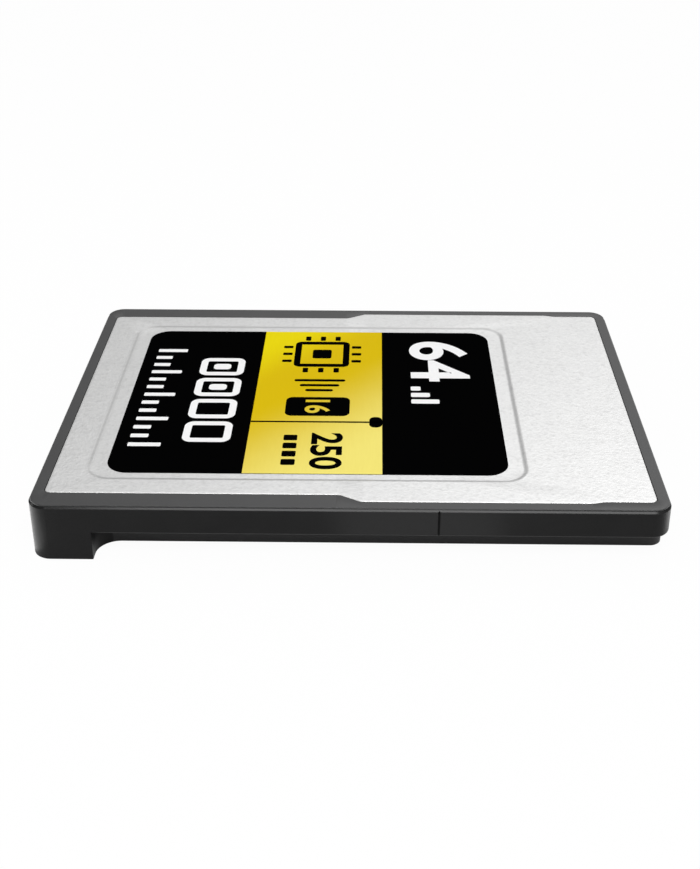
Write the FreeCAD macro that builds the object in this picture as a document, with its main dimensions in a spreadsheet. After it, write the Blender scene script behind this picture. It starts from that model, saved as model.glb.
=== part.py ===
import FreeCAD, Part
import operator
import os
from types import SimpleNamespace

import Sketcher

# A thin removable memory card, 28 by 20 by 2.8 mm, drawn in millimetres.
# X runs along the card from the grip end to the insertion end, Y across it, and Z up from the
# face that it lies on to the metal top cover. The origin is the centre of that lower face.
# Seen from an end the card is a T: two rails overhang a narrower lower body, and a grip block
# of full width and height closes the end that the fingers hold.
# Two moulded frames hold everything. The lower frame carries the circuit board on a ledge, the
# bottom cover in a shallow rebate and the comb of bays through which the contacts are reached.
# The upper frame is the bezel: its skirt and pegs drop into the lower frame, and the pressed top
# cover lies in its rebate, hooked by bent tabs.

SHEET_NAME = "dims"
OVERRUN = 1.0  # how far an open bay is cut past the end of the card
EDGE_SEARCH = 0.25  # how far round the recess its upper edges are looked for

# Driving dimensions in millimetres, and counts; each is an alias in the sheet
DIMENSIONS = {
    # Whole card
    "card_length": 28.0,  # grip end to insertion end
    "card_width": 20.0,  # over the rails
    "card_height": 2.8,  # underside to top cover
    "corner_radius": 0.84,  # plan radius of the four outer corners
    "fit_clearance": 0.05,  # gap left where one piece drops into another
    # Lower frame
    "rail_thickness": 1.4,  # depth of the rails below the top of the card
    "rail_overhang": 1.4,  # how far each rail stands out past the lower body
    "grip_length": 2.76,  # length of the full-width block at the grip end
    "grip_fillet": 1.0,  # inside radius between grip block and lower body
    "nose_radius": 0.55,  # plan radius of the lower body at the insertion end
    "edge_break": 0.04,  # chamfer along the lower edges
    "rim_break": 0.08,  # chamfer round the rim, under the bezel
    "rail_edge": 0.1,  # radius along the lower edge of the rails
    "rim_wall": 0.3,  # thin wall round the seat of the upper frame
    "skirt_depth": 0.46,  # depth of that seat below the rim
    "body_wall": 0.85,  # side wall of the lower body beside the board
    "grip_web": 0.5,  # wall between grip block and board
    "nose_wall": 1.0,  # wall in front of the board
    "board_level": 0.8,  # height of the ledge under the board
    "ledge_width": 0.6,  # width of that ledge
    "witness_from_nose": 10.1,  # mould witness groove, measured from the insertion end
    "witness_width": 0.12,  # width of the groove at the surface
    "witness_depth": 0.06,  # depth of the groove
    "post_radius": 0.45,  # half-round posts that place the board
    "post_from_nose": 12.6,  # posts, measured from the insertion end
    # Cored pockets
    "rail_core_length": 2.2,  # length of one pocket in a rail
    "rail_core_width": 1.0,  # width of one pocket in a rail
    "rail_core_spacing": 2.9,  # spacing of the pockets along a rail
    "rail_core_count": 7,  # pockets in each rail
    "rail_core_floor": 0.35,  # plastic left under a rail pocket
    "rail_core_inset": 0.65,  # from the side of the card to a rail pocket
    "grip_core_width": 2.7,  # size of one grip pocket across the card
    "grip_core_spacing": 3.3,  # spacing of the grip pockets across the card
    "grip_core_count": 5,  # pockets in the grip block
    "grip_core_floor": 0.5,  # plastic left under a grip pocket
    "grip_skin": 0.7,  # wall between the end face and a grip pocket
    "grip_rib": 0.25,  # wall behind a grip pocket
    # Pegs
    "peg_radius": 0.35,  # pegs under the upper frame
    "peg_depth": 0.35,  # length of a peg
    "peg_end_inset": 1.35,  # peg centre from an end of the card
    "peg_side_inset": 0.95,  # peg centre from a side of the card
    # Contacts
    "contact_count": 9,  # contacts in each row
    "contact_spacing": 1.5,  # spacing of the contacts
    "contact_width": 0.9,  # width of one contact
    "contact_length": 1.7,  # length of one contact
    "contact_thickness": 0.035,  # plating and copper under the board
    "contact_setback": 1.4,  # front row, measured from the insertion end
    "row_gap": 0.9,  # between the two rows
    "bay_margin": 0.12,  # gap round a contact inside its bay
    "bay_bar": 0.5,  # bar between the rear bays and the bottom cover
    # Upper frame
    "lip_inset": 0.08,  # step in from the lower frame all round
    "lip_height": 0.08,  # visible height of the bezel
    "cover_land": 0.7,  # ledge under the edge of the top cover
    # Top cover
    "cover_thickness": 0.14,  # sheet metal
    "cover_gap": 0.02,  # gap between cover and bezel
    "cover_end_margin": 0.6,  # bezel seen at both ends
    "narrow_side_margin": 1.1,  # bezel seen beside the grip half
    "wide_side_margin": 0.58,  # bezel seen beside the wide stretch
    "nose_side_margin": 0.71,  # bezel seen beside the insertion end
    "shoulder_from_nose": 13.52,  # start of the wide stretch
    "shoulder_run": 0.93,  # length of the slanted shoulder
    "nose_step_from_nose": 3.35,  # end of the wide stretch
    "nose_step_run": 0.45,  # length of the small slanted step
    "cover_corner_radius": 0.28,  # plan radius of the cover's corners
    "cover_edge_break": 0.03,  # chamfer along the sheared edge
    "recess_grip_margin": 2.12,  # label recess, measured from the grip end
    "recess_nose_margin": 6.03,  # label recess, measured from the insertion end
    "recess_side_margin": 2.2,  # label recess, measured from each side
    "recess_depth": 0.08,  # pressed depth of the label recess
    "recess_radius": 1.2,  # corner radius of the recess
    "recess_slope": 0.05,  # slope round the recess
    "pan_wall": 0.1,  # how much wider the pressing is on its underside
    "tab_length": 1.6,  # one bent tab
    "tab_depth": 0.3,  # how far a tab reaches down
    "tab_spacing": 2.6,  # spacing of the tabs
    "tab_count": 3,  # tabs on each side
    # Label
    "label_end_margin": 0.78,  # inside the recess, at both ends
    "label_side_margin": 0.6,  # inside the recess, at both sides
    "label_thickness": 0.05,  # printed foil with its adhesive
    "label_radius": 1.0,  # corner radius of the label
    # Bottom cover
    "bottom_recess": 0.05,  # cover lies this far inside the lower face
    "bottom_thickness": 0.12,  # sheet metal
    "adhesive_thickness": 0.05,  # adhesive frame and film behind the bottom cover
    "adhesive_land": 0.55,  # land that the bottom cover is glued to
    "adhesive_inset": 0.1,  # adhesive kept back from the cover's edge
    "film_gap": 0.1,  # between the insulating film and the window
    "bottom_radius": 0.5,  # corner radius of the bottom cover
    # Board
    "board_thickness": 0.5,  # circuit board
    "board_radius": 0.3,  # corner radius of the board
    # Parts on the board
    "pad_thickness": 0.34,  # heat-conducting pads under the top cover
    "pad_inset": 0.5,  # pads kept back from the edge of a package
    "flash_end_margin": 0.5,  # flash package, from the board's grip end
    "flash_side_margin": 0.85,  # flash package, from the board's sides
    "resistor_gap": 0.35,  # on both sides of the resistors beside the flash package
    "controller_side_margin": 0.9,  # controller, from the board's near side
    "controller_far_gap": 1.4,  # between controller and power chip
    "controller_nose_gap": 0.55,  # between controller and start-up memory
    "power_size": 3.0,  # power chip, square
    "far_side_margin": 1.2,  # power chip and inductors, from the board's far side
    "low_part_headroom": 0.7,  # over the low parts, up to the cover
    "inductor_headroom": 0.46,  # over the inductors, up to the cover
    "inductor_length": 1.6,  # one power inductor
    "inductor_width": 1.4,  # one power inductor
    "inductor_spacing": 2.0,  # spacing of the inductors
    "inductor_count": 3,  # power inductors
    "inductor_from_nose": 2.3,  # last inductor, from the insertion end
    "power_gap": 0.6,  # between power chip and inductors
    "crystal_length": 1.6,  # crystal in its can
    "crystal_width": 1.2,  # crystal in its can
    "memory_length": 2.6,  # small memory that holds the start-up code
    "memory_width": 1.6,  # the same, across its length
    "nose_part_setback": 2.25,  # centre of the parts between controller and nose
    "crystal_side_margin": 4.6,  # crystal, from the board's near side
    "memory_side_margin": 2.0,  # start-up memory, from the board's near side
    "regulator_length": 1.5,  # small voltage regulator
    "regulator_width": 1.0,  # small voltage regulator
    "middle_row_gap": 0.4,  # round the regulator and the row of bulk capacitors
    "bulk_length": 1.0,  # bulk capacitor
    "bulk_width": 0.5,  # bulk capacitor
    "bulk_spacing": 0.9,  # spacing of the bulk capacitors
    "bulk_count": 4,  # bulk capacitors
    "small_length": 0.6,  # small resistor or capacitor
    "small_width": 0.3,  # small resistor or capacitor
    "small_height": 0.25,  # small resistor or capacitor
    "small_spacing": 0.9,  # spacing of the small parts in a row
    "resistor_count": 10,  # resistors between flash package and controller
    "coupling_count": 4,  # coupling capacitors behind the contacts
    "coupling_spacing": 0.45,  # spacing of the coupling capacitors
    "coupling_side_margin": 5.9,  # first coupling capacitor, from the near side
    "underside_headroom": 0.25,  # between the parts under the board and the film
    "decoupling_columns": 4,  # columns of decoupling capacitors under the board
    "decoupling_rows": 4,  # rows of decoupling capacitors under the board
    "decoupling_spacing": 2.6,  # spacing of those columns and rows
    "decoupling_start": 2.2,  # first column, from the board's grip end
    "surge_length": 1.0,  # surge protection array
    "surge_width": 0.6,  # surge protection array
    "surge_spacing": 3.6,  # spacing of the surge protection arrays
    "surge_count": 3,  # surge protection arrays
    "surge_gap": 1.1,  # from the window's edge to their centres
    "terminal_share": 0.25,  # part of a small part's length that each end cap takes
    "terminal_proud": 0.02,  # how far an end cap stands out
    "package_edge_break": 0.08,  # chamfer round the top of a package
    "dot_radius": 0.25,  # first-pin mark
    "dot_depth": 0.04,  # depth of the first-pin mark
    "dot_inset": 0.7,  # first-pin mark from the package's corner
}

OPERATIONS = {"+": operator.add, "-": operator.sub, "*": operator.mul, "/": operator.truediv}


class Size:
    """A length as a formula in the sheet's aliases, with the number it gives now."""

    def __init__(self, formula, value):
        self.formula = formula
        self.value = value

    def combined(self, sign, other, swapped=False):
        """The formula and number of this size and another one, joined by a sign."""
        if not isinstance(other, Size):
            other = Size(repr(float(other)), float(other))
        first, second = (other, self) if swapped else (self, other)
        value = OPERATIONS[sign](first.value, second.value)
        return Size("(" + first.formula + " " + sign + " " + second.formula + ")", value)

    def __add__(self, other):
        return self.combined("+", other)

    def __radd__(self, other):
        return self.combined("+", other, swapped=True)

    def __sub__(self, other):
        return self.combined("-", other)

    def __rsub__(self, other):
        return self.combined("-", other, swapped=True)

    def __mul__(self, other):
        return self.combined("*", other)

    def __rmul__(self, other):
        return self.combined("*", other, swapped=True)

    def __truediv__(self, other):
        return self.combined("/", other)

    def __neg__(self):
        return self.combined("*", -1.0)


document = FreeCAD.newDocument("memory_card")
sheet = document.addObject("Spreadsheet::Sheet", SHEET_NAME)


def fill_sheet():
    """Write every driving dimension into the sheet and return them by name."""
    named = {}
    for row, (alias, value) in enumerate(DIMENSIONS.items(), start=1):
        sheet.set("A" + str(row), alias)
        sheet.set("B" + str(row), str(value))
        sheet.setAlias("B" + str(row), alias)
        named[alias] = Size(SHEET_NAME + "." + alias, float(value))
    document.recompute()
    return SimpleNamespace(**named)


size = fill_sheet()
ZERO = Size("0.0", 0.0)

# Lengths that several pieces share, worked out from the sheet
half_length = size.card_length / 2
half_width = size.card_width / 2
body_half_width = half_width - size.rail_overhang
rail_underside = size.card_height - size.rail_thickness
lip_level = size.card_height - size.lip_height
seat_level = lip_level - size.skirt_depth
grip_face = size.grip_length - half_length

cavity_start = grip_face + size.grip_web
cavity_end = half_length - size.nose_wall
cavity_half_width = body_half_width - size.body_wall
board_start = cavity_start + size.fit_clearance
board_end = cavity_end - size.fit_clearance
board_half_width = cavity_half_width - size.fit_clearance
board_top = size.board_level + size.board_thickness

front_contact_end = half_length - size.contact_setback
front_contact_start = front_contact_end - size.contact_length
rear_contact_end = front_contact_start - size.row_gap
rear_contact_start = rear_contact_end - size.contact_length
contact_span = size.contact_spacing * (size.contact_count - 1)
bay_width = size.contact_width + 2 * size.bay_margin

rebate_level = size.bottom_recess + size.bottom_thickness + size.adhesive_thickness
rebate_end = rear_contact_start - size.bay_margin - size.bay_bar
window_start = cavity_start + size.ledge_width
window_end = rebate_end - size.adhesive_land
window_half_width = cavity_half_width - size.ledge_width
rebate_start = window_start - size.adhesive_land
rebate_half_width = window_half_width + size.adhesive_land

recess_start = size.recess_grip_margin - half_length
recess_end = half_length - size.recess_nose_margin
recess_half_width = half_width - size.recess_side_margin
cover_underside = size.card_height - size.cover_thickness
pan_underside = cover_underside - size.recess_depth
wide_start = half_length - size.shoulder_from_nose
wide_end = half_length - size.nose_step_from_nose
wide_half_width = half_width - size.wide_side_margin
tab_first = (wide_start + wide_end) / 2 - size.tab_spacing * (size.tab_count - 1) / 2

nose_part_x = half_length - size.nose_part_setback
far_edge = board_half_width - size.far_side_margin
first_inductor_x = (half_length - size.inductor_from_nose
                    - size.inductor_spacing * (size.inductor_count - 1))
power_end = first_inductor_x - size.inductor_width / 2 - size.power_gap
power_start = power_end - size.power_size
controller_end = nose_part_x - size.memory_width / 2 - size.controller_nose_gap
controller_near = size.controller_side_margin - board_half_width
controller_far = far_edge - size.power_size - size.controller_far_gap
flash_start = board_start + size.flash_end_margin
flash_end = power_start - size.small_length - 2 * size.resistor_gap
package_height = pan_underside - size.pad_thickness - board_top
low_part_height = cover_underside - size.low_part_headroom - board_top
inductor_height = cover_underside - size.inductor_headroom - board_top
underside_part_height = size.board_level - rebate_level - size.underside_headroom


def bind(target, path, length):
    """Tie a property of an object to a size, so that it follows the sheet."""
    target.setExpression(path, length.formula)


def add_body(label, x=ZERO, y=ZERO, z=ZERO):
    """Start a piece of the card, placed by its own origin."""
    body = document.addObject("PartDesign::Body", label)
    body.Label = label
    body.AllowCompound = True
    bind(body, "Placement.Base.x", x)
    bind(body, "Placement.Base.y", y)
    bind(body, "Placement.Base.z", z)
    return body


def origin_feature(body, role):
    """The plane or axis of a body's own origin that plays this role."""
    return next(item for item in body.Origin.OriginFeatures if item.Role == role)


def add_sketch(body, name, level=ZERO):
    """A sketch on the body's own XY plane, raised to a level."""
    sketch = body.newObject("Sketcher::SketchObject", body.Label + "_" + name)
    sketch.AttachmentSupport = (origin_feature(body, "XY_Plane"), [""])
    sketch.MapMode = "FlatFace"
    bind(sketch, "AttachmentOffset.Base.z", level)
    return sketch


def hold(sketch, kind, geometry, point, length):
    """Fix one coordinate of a point, or a radius where point is none, to a size."""
    if point is None:
        constraint = Sketcher.Constraint(kind, geometry, length.value)
    else:
        constraint = Sketcher.Constraint(kind, geometry, point, length.value)
    index = sketch.addConstraint(constraint)
    sketch.setExpression("Constraints[" + str(index) + "]", length.formula)


def draw_polygon(sketch, corners):
    """Add a closed outline through corners that are pairs of sizes."""
    first = sketch.GeometryCount
    count = len(corners)
    points = [FreeCAD.Vector(x.value, y.value, 0) for x, y in corners]
    for place in range(count):
        sketch.addGeometry(Part.LineSegment(points[place], points[(place + 1) % count]), False)
    for place in range(count):
        after = first + (place + 1) % count
        sketch.addConstraint(Sketcher.Constraint("Coincident", first + place, 2, after, 1))
    for place, (x, y) in enumerate(corners):
        hold(sketch, "DistanceX", first + place, 1, x)
        hold(sketch, "DistanceY", first + place, 1, y)


def draw_rectangle(sketch, x_low, x_high, y_low, y_high):
    """Add a rectangle between two X and two Y positions."""
    draw_polygon(sketch, [(x_low, y_low), (x_high, y_low), (x_high, y_high), (x_low, y_high)])


def draw_circle(sketch, x, y, radius):
    """Add a circle with its centre and radius tied to sizes."""
    index = sketch.GeometryCount
    centre = FreeCAD.Vector(x.value, y.value, 0)
    sketch.addGeometry(Part.Circle(centre, FreeCAD.Vector(0, 0, 1), radius.value), False)
    hold(sketch, "DistanceX", index, 3, x)
    hold(sketch, "DistanceY", index, 3, y)
    hold(sketch, "Radius", index, None, radius)


def checked(body, feature, adds):
    """Make a feature the body's tip and stop if it didn't add or remove material."""
    before = body.Tip.Shape.Volume if body.Tip else 0.0
    body.Tip = feature
    document.recompute()
    if feature.Shape.isNull() or (feature.Shape.Volume > before) != adds:
        raise RuntimeError(feature.Name + " changed nothing or failed")
    return feature


def pad(body, sketch, length, down=False):
    """Raise a sketch into a solid, or let it hang down from its plane."""
    before = body.Tip
    feature = body.newObject("PartDesign::Pad", sketch.Name + "_pad")
    body.Tip = before
    feature.Profile = sketch
    feature.Reversed = down
    bind(feature, "Length", length)
    return checked(body, feature, True)


def pocket(body, sketch, depth, up=False):
    """Cut a sketch down into the solid, or up from its plane."""
    before = body.Tip
    feature = body.newObject("PartDesign::Pocket", sketch.Name + "_pocket")
    body.Tip = before
    feature.Profile = sketch
    feature.Reversed = up
    bind(feature, "Length", depth)
    return checked(body, feature, False)


def repeat(body, original, axis, pitch, count, adds):
    """Repeat a feature along an axis of the body at a pitch."""
    before = body.Tip
    feature = body.newObject("PartDesign::LinearPattern", original.Name + "_row")
    body.Tip = before
    feature.Originals = [original]
    feature.Direction = (origin_feature(body, axis), [""])
    bind(feature, "Length", pitch * (count - 1))
    bind(feature, "Occurrences", count)
    return checked(body, feature, adds)


def edge_names(shape, wanted):
    """Names of the edges whose two ends and middle pass a test."""
    names = []
    for number, edge in enumerate(shape.Edges, start=1):
        ends = [vertex.Point for vertex in edge.Vertexes]
        if len(ends) == 2 and wanted(ends[0], ends[1]):
            names.append("Edge" + str(number))
    return names


def is_upright_at(x, y, low, high):
    """A test for upright edges at a plan position, within a range of heights."""
    slack = 1e-4

    def wanted(start, end):
        same_place = all(
            abs(abs(point.x - x.value)) < slack and abs(abs(point.y) - y.value) < slack
            for point in (start, end)
        )
        heights = sorted((start.z, end.z))
        inside = heights[0] > low.value - slack and heights[1] < high.value + slack
        return same_place and inside and heights[1] - heights[0] > slack

    return wanted


def is_level_at(z, inside=None):
    """A test for edges that lie at one height, inside or outside a plan rectangle."""
    slack = 1e-4

    def wanted(start, end):
        if abs(start.z - z.value) > slack or abs(end.z - z.value) > slack:
            return False
        if inside is None:
            return True
        x_low, x_high, y_half = inside
        middle = (start + end) / 2
        return x_low.value < middle.x < x_high.value and abs(middle.y) < y_half.value

    return wanted


def is_beyond(z, x_half, y_half):
    """A test for edges at one height whose two ends lie outside a plan rectangle."""
    slack = 1e-4

    def wanted(start, end):
        return all(
            abs(point.z - z.value) < slack
            and (abs(point.x) > x_half.value + slack or abs(point.y) > y_half.value + slack)
            for point in (start, end)
        )

    return wanted


def is_along_rail(start, end):
    """A test for the outer lower edges of the two rails."""
    slack = 1e-4
    return all(abs(point.z - rail_underside.value) < slack
               and abs(abs(point.y) - half_width.value) < slack for point in (start, end))


def round_edges(body, name, wanted, radius):
    """Give chosen edges of the body's present shape a radius."""
    return finish_edges(body, "PartDesign::Fillet", "Radius", name, wanted, radius)


def break_edges(body, name, wanted, width):
    """Give chosen edges of the body's present shape a chamfer."""
    return finish_edges(body, "PartDesign::Chamfer", "Size", name, wanted, width)


def finish_edges(body, kind, path, name, wanted, length):
    """Add a fillet or chamfer on the edges that pass a test."""
    base = body.Tip
    names = edge_names(base.Shape, wanted)
    if not names:
        raise RuntimeError(body.Label + " has no edges for " + name)
    feature = body.newObject(kind, body.Label + "_" + name)
    feature.Base = (base, names)
    bind(feature, path, length)
    body.Tip = feature
    document.recompute()
    return feature


def make_lower_frame():
    """Moulded tray: rails, grip block, lower body, board ledge, contact comb, cored pockets."""
    body = add_body("lower_frame")

    # Rails and the plan of the lower body with its grip block
    rails = add_sketch(body, "rails", rail_underside)
    draw_rectangle(rails, -half_length, half_length, -half_width, half_width)
    pad(body, rails, lip_level - rail_underside)
    plan = add_sketch(body, "plan")
    draw_polygon(plan, [
        (-half_length, -half_width), (grip_face, -half_width), (grip_face, -body_half_width),
        (half_length, -body_half_width), (half_length, body_half_width),
        (grip_face, body_half_width), (grip_face, half_width), (-half_length, half_width),
    ])
    pad(body, plan, rail_underside)
    round_edges(body, "grip_corners", is_upright_at(-half_length, half_width, ZERO, lip_level),
                size.corner_radius)
    round_edges(body, "rail_corners",
                is_upright_at(half_length, half_width, rail_underside, lip_level),
                size.corner_radius)
    round_edges(body, "nose_corners",
                is_upright_at(half_length, body_half_width, ZERO, rail_underside),
                size.nose_radius)
    round_edges(body, "grip_fillets",
                is_upright_at(grip_face, body_half_width, ZERO, rail_underside),
                size.grip_fillet)
    break_edges(body, "lower_edges", is_level_at(ZERO), size.edge_break)
    round_edges(body, "rail_edges", is_along_rail, size.rail_edge)

    # Seat of the upper frame, then the space for the board and the window under it
    seat = add_sketch(body, "seat", lip_level)
    seat_half_length = half_length - size.rim_wall
    seat_half_width = half_width - size.rim_wall
    draw_rectangle(seat, -seat_half_length, seat_half_length, -seat_half_width, seat_half_width)
    pocket(body, seat, size.skirt_depth)
    for side, x in (("grip", -seat_half_length), ("nose", seat_half_length)):
        round_edges(body, "seat_corners_" + side,
                    is_upright_at(x, seat_half_width, seat_level, lip_level),
                    size.corner_radius - size.rim_wall)
    break_edges(body, "rim", is_beyond(lip_level, seat_half_length, seat_half_width),
                size.rim_break)
    cavity = add_sketch(body, "cavity", seat_level)
    draw_rectangle(cavity, cavity_start, cavity_end, -cavity_half_width, cavity_half_width)
    pocket(body, cavity, seat_level - size.board_level)
    window = add_sketch(body, "window", size.board_level)
    draw_rectangle(window, window_start, window_end, -window_half_width, window_half_width)
    pocket(body, window, size.board_level)
    rebate = add_sketch(body, "rebate")
    draw_rectangle(rebate, rebate_start, rebate_end, -rebate_half_width, rebate_half_width)
    pocket(body, rebate, rebate_level, up=True)
    for side, x in (("grip", rebate_start), ("nose", rebate_end)):
        round_edges(body, "rebate_corners_" + side,
                    is_upright_at(x, rebate_half_width, ZERO, rebate_level),
                    size.bottom_radius + size.fit_clearance)

    # Comb: a row of bays open at the insertion end and a row of closed ones behind it
    first_y = -(contact_span + bay_width) / 2
    front_bay = add_sketch(body, "front_bay")
    draw_rectangle(front_bay, front_contact_start - size.bay_margin, half_length + OVERRUN,
                   first_y, first_y + bay_width)
    front_cut = pocket(body, front_bay, size.board_level, up=True)
    repeat(body, front_cut, "Y_Axis", size.contact_spacing, size.contact_count, False)
    rear_bay = add_sketch(body, "rear_bay")
    draw_rectangle(rear_bay, rear_contact_start - size.bay_margin,
                   rear_contact_end + size.bay_margin, first_y, first_y + bay_width)
    rear_cut = pocket(body, rear_bay, size.board_level, up=True)
    repeat(body, rear_cut, "Y_Axis", size.contact_spacing, size.contact_count, False)

    # Pockets that keep the walls of rails and grip block even
    rail_core = add_sketch(body, "rail_core", seat_level)
    core_start = -size.rail_core_spacing * (size.rail_core_count - 1) / 2 - size.rail_core_length / 2
    core_outer = half_width - size.rail_core_inset
    for outer, inner in ((-core_outer, size.rail_core_width - core_outer),
                         (core_outer - size.rail_core_width, core_outer)):
        draw_rectangle(rail_core, core_start, core_start + size.rail_core_length, outer, inner)
    rail_cut = pocket(body, rail_core, seat_level - rail_underside - size.rail_core_floor)
    repeat(body, rail_cut, "X_Axis", size.rail_core_spacing, size.rail_core_count, False)
    grip_core = add_sketch(body, "grip_core", seat_level)
    grip_core_y = -size.grip_core_spacing * (size.grip_core_count - 1) / 2
    draw_rectangle(grip_core, size.grip_skin - half_length, grip_face - size.grip_rib,
                   grip_core_y - size.grip_core_width / 2, grip_core_y + size.grip_core_width / 2)
    grip_cut = pocket(body, grip_core, seat_level - size.grip_core_floor)
    repeat(body, grip_cut, "Y_Axis", size.grip_core_spacing, size.grip_core_count, False)

    # Holes for the pegs of the upper frame and half-round posts for the board
    holes = add_sketch(body, "peg_holes", seat_level)
    draw_peg_circles(holes, size.peg_radius + size.fit_clearance)
    pocket(body, holes, size.peg_depth + size.fit_clearance)
    posts = add_sketch(body, "posts", size.board_level)
    for y in (-cavity_half_width, cavity_half_width):
        draw_circle(posts, half_length - size.post_from_nose, y, size.post_radius)
    pad(body, posts, size.board_thickness)

    # Witness groove of the mould on both rails
    witness = add_sketch(body, "witness", lip_level)
    groove_x = half_length - size.witness_from_nose
    for face, inward in ((-half_width, size.witness_depth), (half_width, -size.witness_depth)):
        draw_polygon(witness, [
            (groove_x - size.witness_width, face - inward),
            (groove_x + size.witness_width, face - inward),
            (groove_x, face + inward),
        ])
    pocket(body, witness, lip_level - rail_underside)
    return body


def draw_peg_circles(sketch, radius):
    """Four circles near the corners, where pegs and peg holes lie."""
    for x in (size.peg_end_inset - half_length, half_length - size.peg_end_inset):
        for y in (size.peg_side_inset - half_width, half_width - size.peg_side_inset):
            draw_circle(sketch, x, y, radius)


def cover_corners(gap):
    """Outline of the top cover with its shoulders, grown by a gap on every side."""
    end = half_length - size.cover_end_margin + gap
    stations = [
        (-end, half_width - size.narrow_side_margin + gap),
        (wide_start - size.shoulder_run, half_width - size.narrow_side_margin + gap),
        (wide_start, wide_half_width + gap),
        (wide_end, wide_half_width + gap),
        (wide_end + size.nose_step_run, half_width - size.nose_side_margin + gap),
        (end, half_width - size.nose_side_margin + gap),
    ]
    near_side = [(x, -y) for x, y in stations]
    return near_side + stations[::-1]


def round_cover_corners(body, gap, low, high):
    """Round the four outer corners of the cover, or of the rebate that it lies in."""
    corners = cover_corners(gap)
    for name, (x, y) in (("grip", corners[0]), ("nose", corners[5])):
        round_edges(body, "corners_" + name, is_upright_at(x, -y, low, high),
                    size.cover_corner_radius + gap)


def draw_tabs(sketch, gap):
    """The first bent tab on each side, or the slot for it grown by a gap."""
    for near, far in ((-wide_half_width - gap, size.cover_thickness + gap - wide_half_width),
                      (wide_half_width - size.cover_thickness - gap, wide_half_width + gap)):
        draw_rectangle(sketch, tab_first - size.tab_length / 2 - gap,
                       tab_first + size.tab_length / 2 + gap, near, far)


def make_upper_frame():
    """Moulded bezel: lip over the rim, skirt inside it, rebate and slots for the cover, pegs."""
    body = add_body("upper_frame", z=lip_level)

    # Lip that shows, and the skirt below it
    lip = add_sketch(body, "lip")
    lip_half_length = half_length - size.lip_inset
    lip_half_width = half_width - size.lip_inset
    draw_rectangle(lip, -lip_half_length, lip_half_length, -lip_half_width, lip_half_width)
    pad(body, lip, size.lip_height)
    for side, x in (("grip", -lip_half_length), ("nose", lip_half_length)):
        round_edges(body, "lip_corners_" + side,
                    is_upright_at(x, lip_half_width, ZERO, size.lip_height),
                    size.corner_radius - size.lip_inset)
    skirt = add_sketch(body, "skirt")
    skirt_half_length = half_length - size.rim_wall - size.fit_clearance
    skirt_half_width = half_width - size.rim_wall - size.fit_clearance
    draw_rectangle(skirt, -skirt_half_length, skirt_half_length,
                   -skirt_half_width, skirt_half_width)
    pad(body, skirt, size.skirt_depth, down=True)
    for side, x in (("grip", -skirt_half_length), ("nose", skirt_half_length)):
        round_edges(body, "skirt_corners_" + side,
                    is_upright_at(x, skirt_half_width, -size.skirt_depth, ZERO),
                    size.corner_radius - size.rim_wall - size.fit_clearance)

    # Opening, rebate and tab slots for the top cover
    opening = add_sketch(body, "opening", size.lip_height)
    opening_half_length = half_length - size.cover_end_margin - size.cover_land
    opening_half_width = half_width - size.narrow_side_margin - size.cover_land
    draw_rectangle(opening, -opening_half_length, opening_half_length,
                   -opening_half_width, opening_half_width)
    pocket(body, opening, size.lip_height + size.skirt_depth)
    rebate = add_sketch(body, "rebate", size.lip_height)
    draw_polygon(rebate, cover_corners(size.cover_gap))
    pocket(body, rebate, size.cover_thickness)
    round_cover_corners(body, size.cover_gap, size.lip_height - size.cover_thickness,
                        size.lip_height)
    slots = add_sketch(body, "tab_slots", size.lip_height - size.cover_thickness)
    draw_tabs(slots, size.cover_gap)
    slot_cut = pocket(body, slots, size.tab_depth + size.cover_gap)
    repeat(body, slot_cut, "X_Axis", size.tab_spacing, size.tab_count, False)

    # Pegs that drop into the lower frame
    pegs = add_sketch(body, "pegs", -size.skirt_depth)
    draw_peg_circles(pegs, size.peg_radius)
    pad(body, pegs, size.peg_depth, down=True)
    return body


def make_top_cover():
    """Pressed sheet: stepped outline, pressed label recess, bent tabs along the wide stretch."""
    body = add_body("top_cover", z=cover_underside)
    outline = add_sketch(body, "outline")
    draw_polygon(outline, cover_corners(ZERO))
    pad(body, outline, size.cover_thickness)
    round_cover_corners(body, ZERO, ZERO, size.cover_thickness)
    break_edges(body, "sheared_edge", is_level_at(size.cover_thickness), size.cover_edge_break)

    # Pressed recess, a little wider on its underside than on top
    pan = add_sketch(body, "pan")
    pan_start = recess_start - size.pan_wall
    pan_end = recess_end + size.pan_wall
    pan_half_width = recess_half_width + size.pan_wall
    draw_rectangle(pan, pan_start, pan_end, -pan_half_width, pan_half_width)
    pad(body, pan, size.recess_depth, down=True)
    for side, x in (("grip", pan_start), ("nose", pan_end)):
        round_edges(body, "pan_corners_" + side,
                    is_upright_at(x, pan_half_width, -size.recess_depth, ZERO),
                    size.recess_radius + size.pan_wall)
    recess = add_sketch(body, "recess", size.cover_thickness)
    draw_rectangle(recess, recess_start, recess_end, -recess_half_width, recess_half_width)
    pocket(body, recess, size.recess_depth)
    recess_floor = size.cover_thickness - size.recess_depth
    for side, x in (("grip", recess_start), ("nose", recess_end)):
        round_edges(body, "recess_corners_" + side,
                    is_upright_at(x, recess_half_width, recess_floor, size.cover_thickness),
                    size.recess_radius)
    around = (recess_start - EDGE_SEARCH, recess_end + EDGE_SEARCH,
              recess_half_width + EDGE_SEARCH)
    break_edges(body, "recess_slope", is_level_at(size.cover_thickness, around),
                size.recess_slope)

    # Tabs bent down into the slots of the upper frame
    tabs = add_sketch(body, "tabs")
    draw_tabs(tabs, ZERO)
    tab_pair = pad(body, tabs, size.tab_depth, down=True)
    repeat(body, tab_pair, "X_Axis", size.tab_spacing, size.tab_count, True)
    return body


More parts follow.
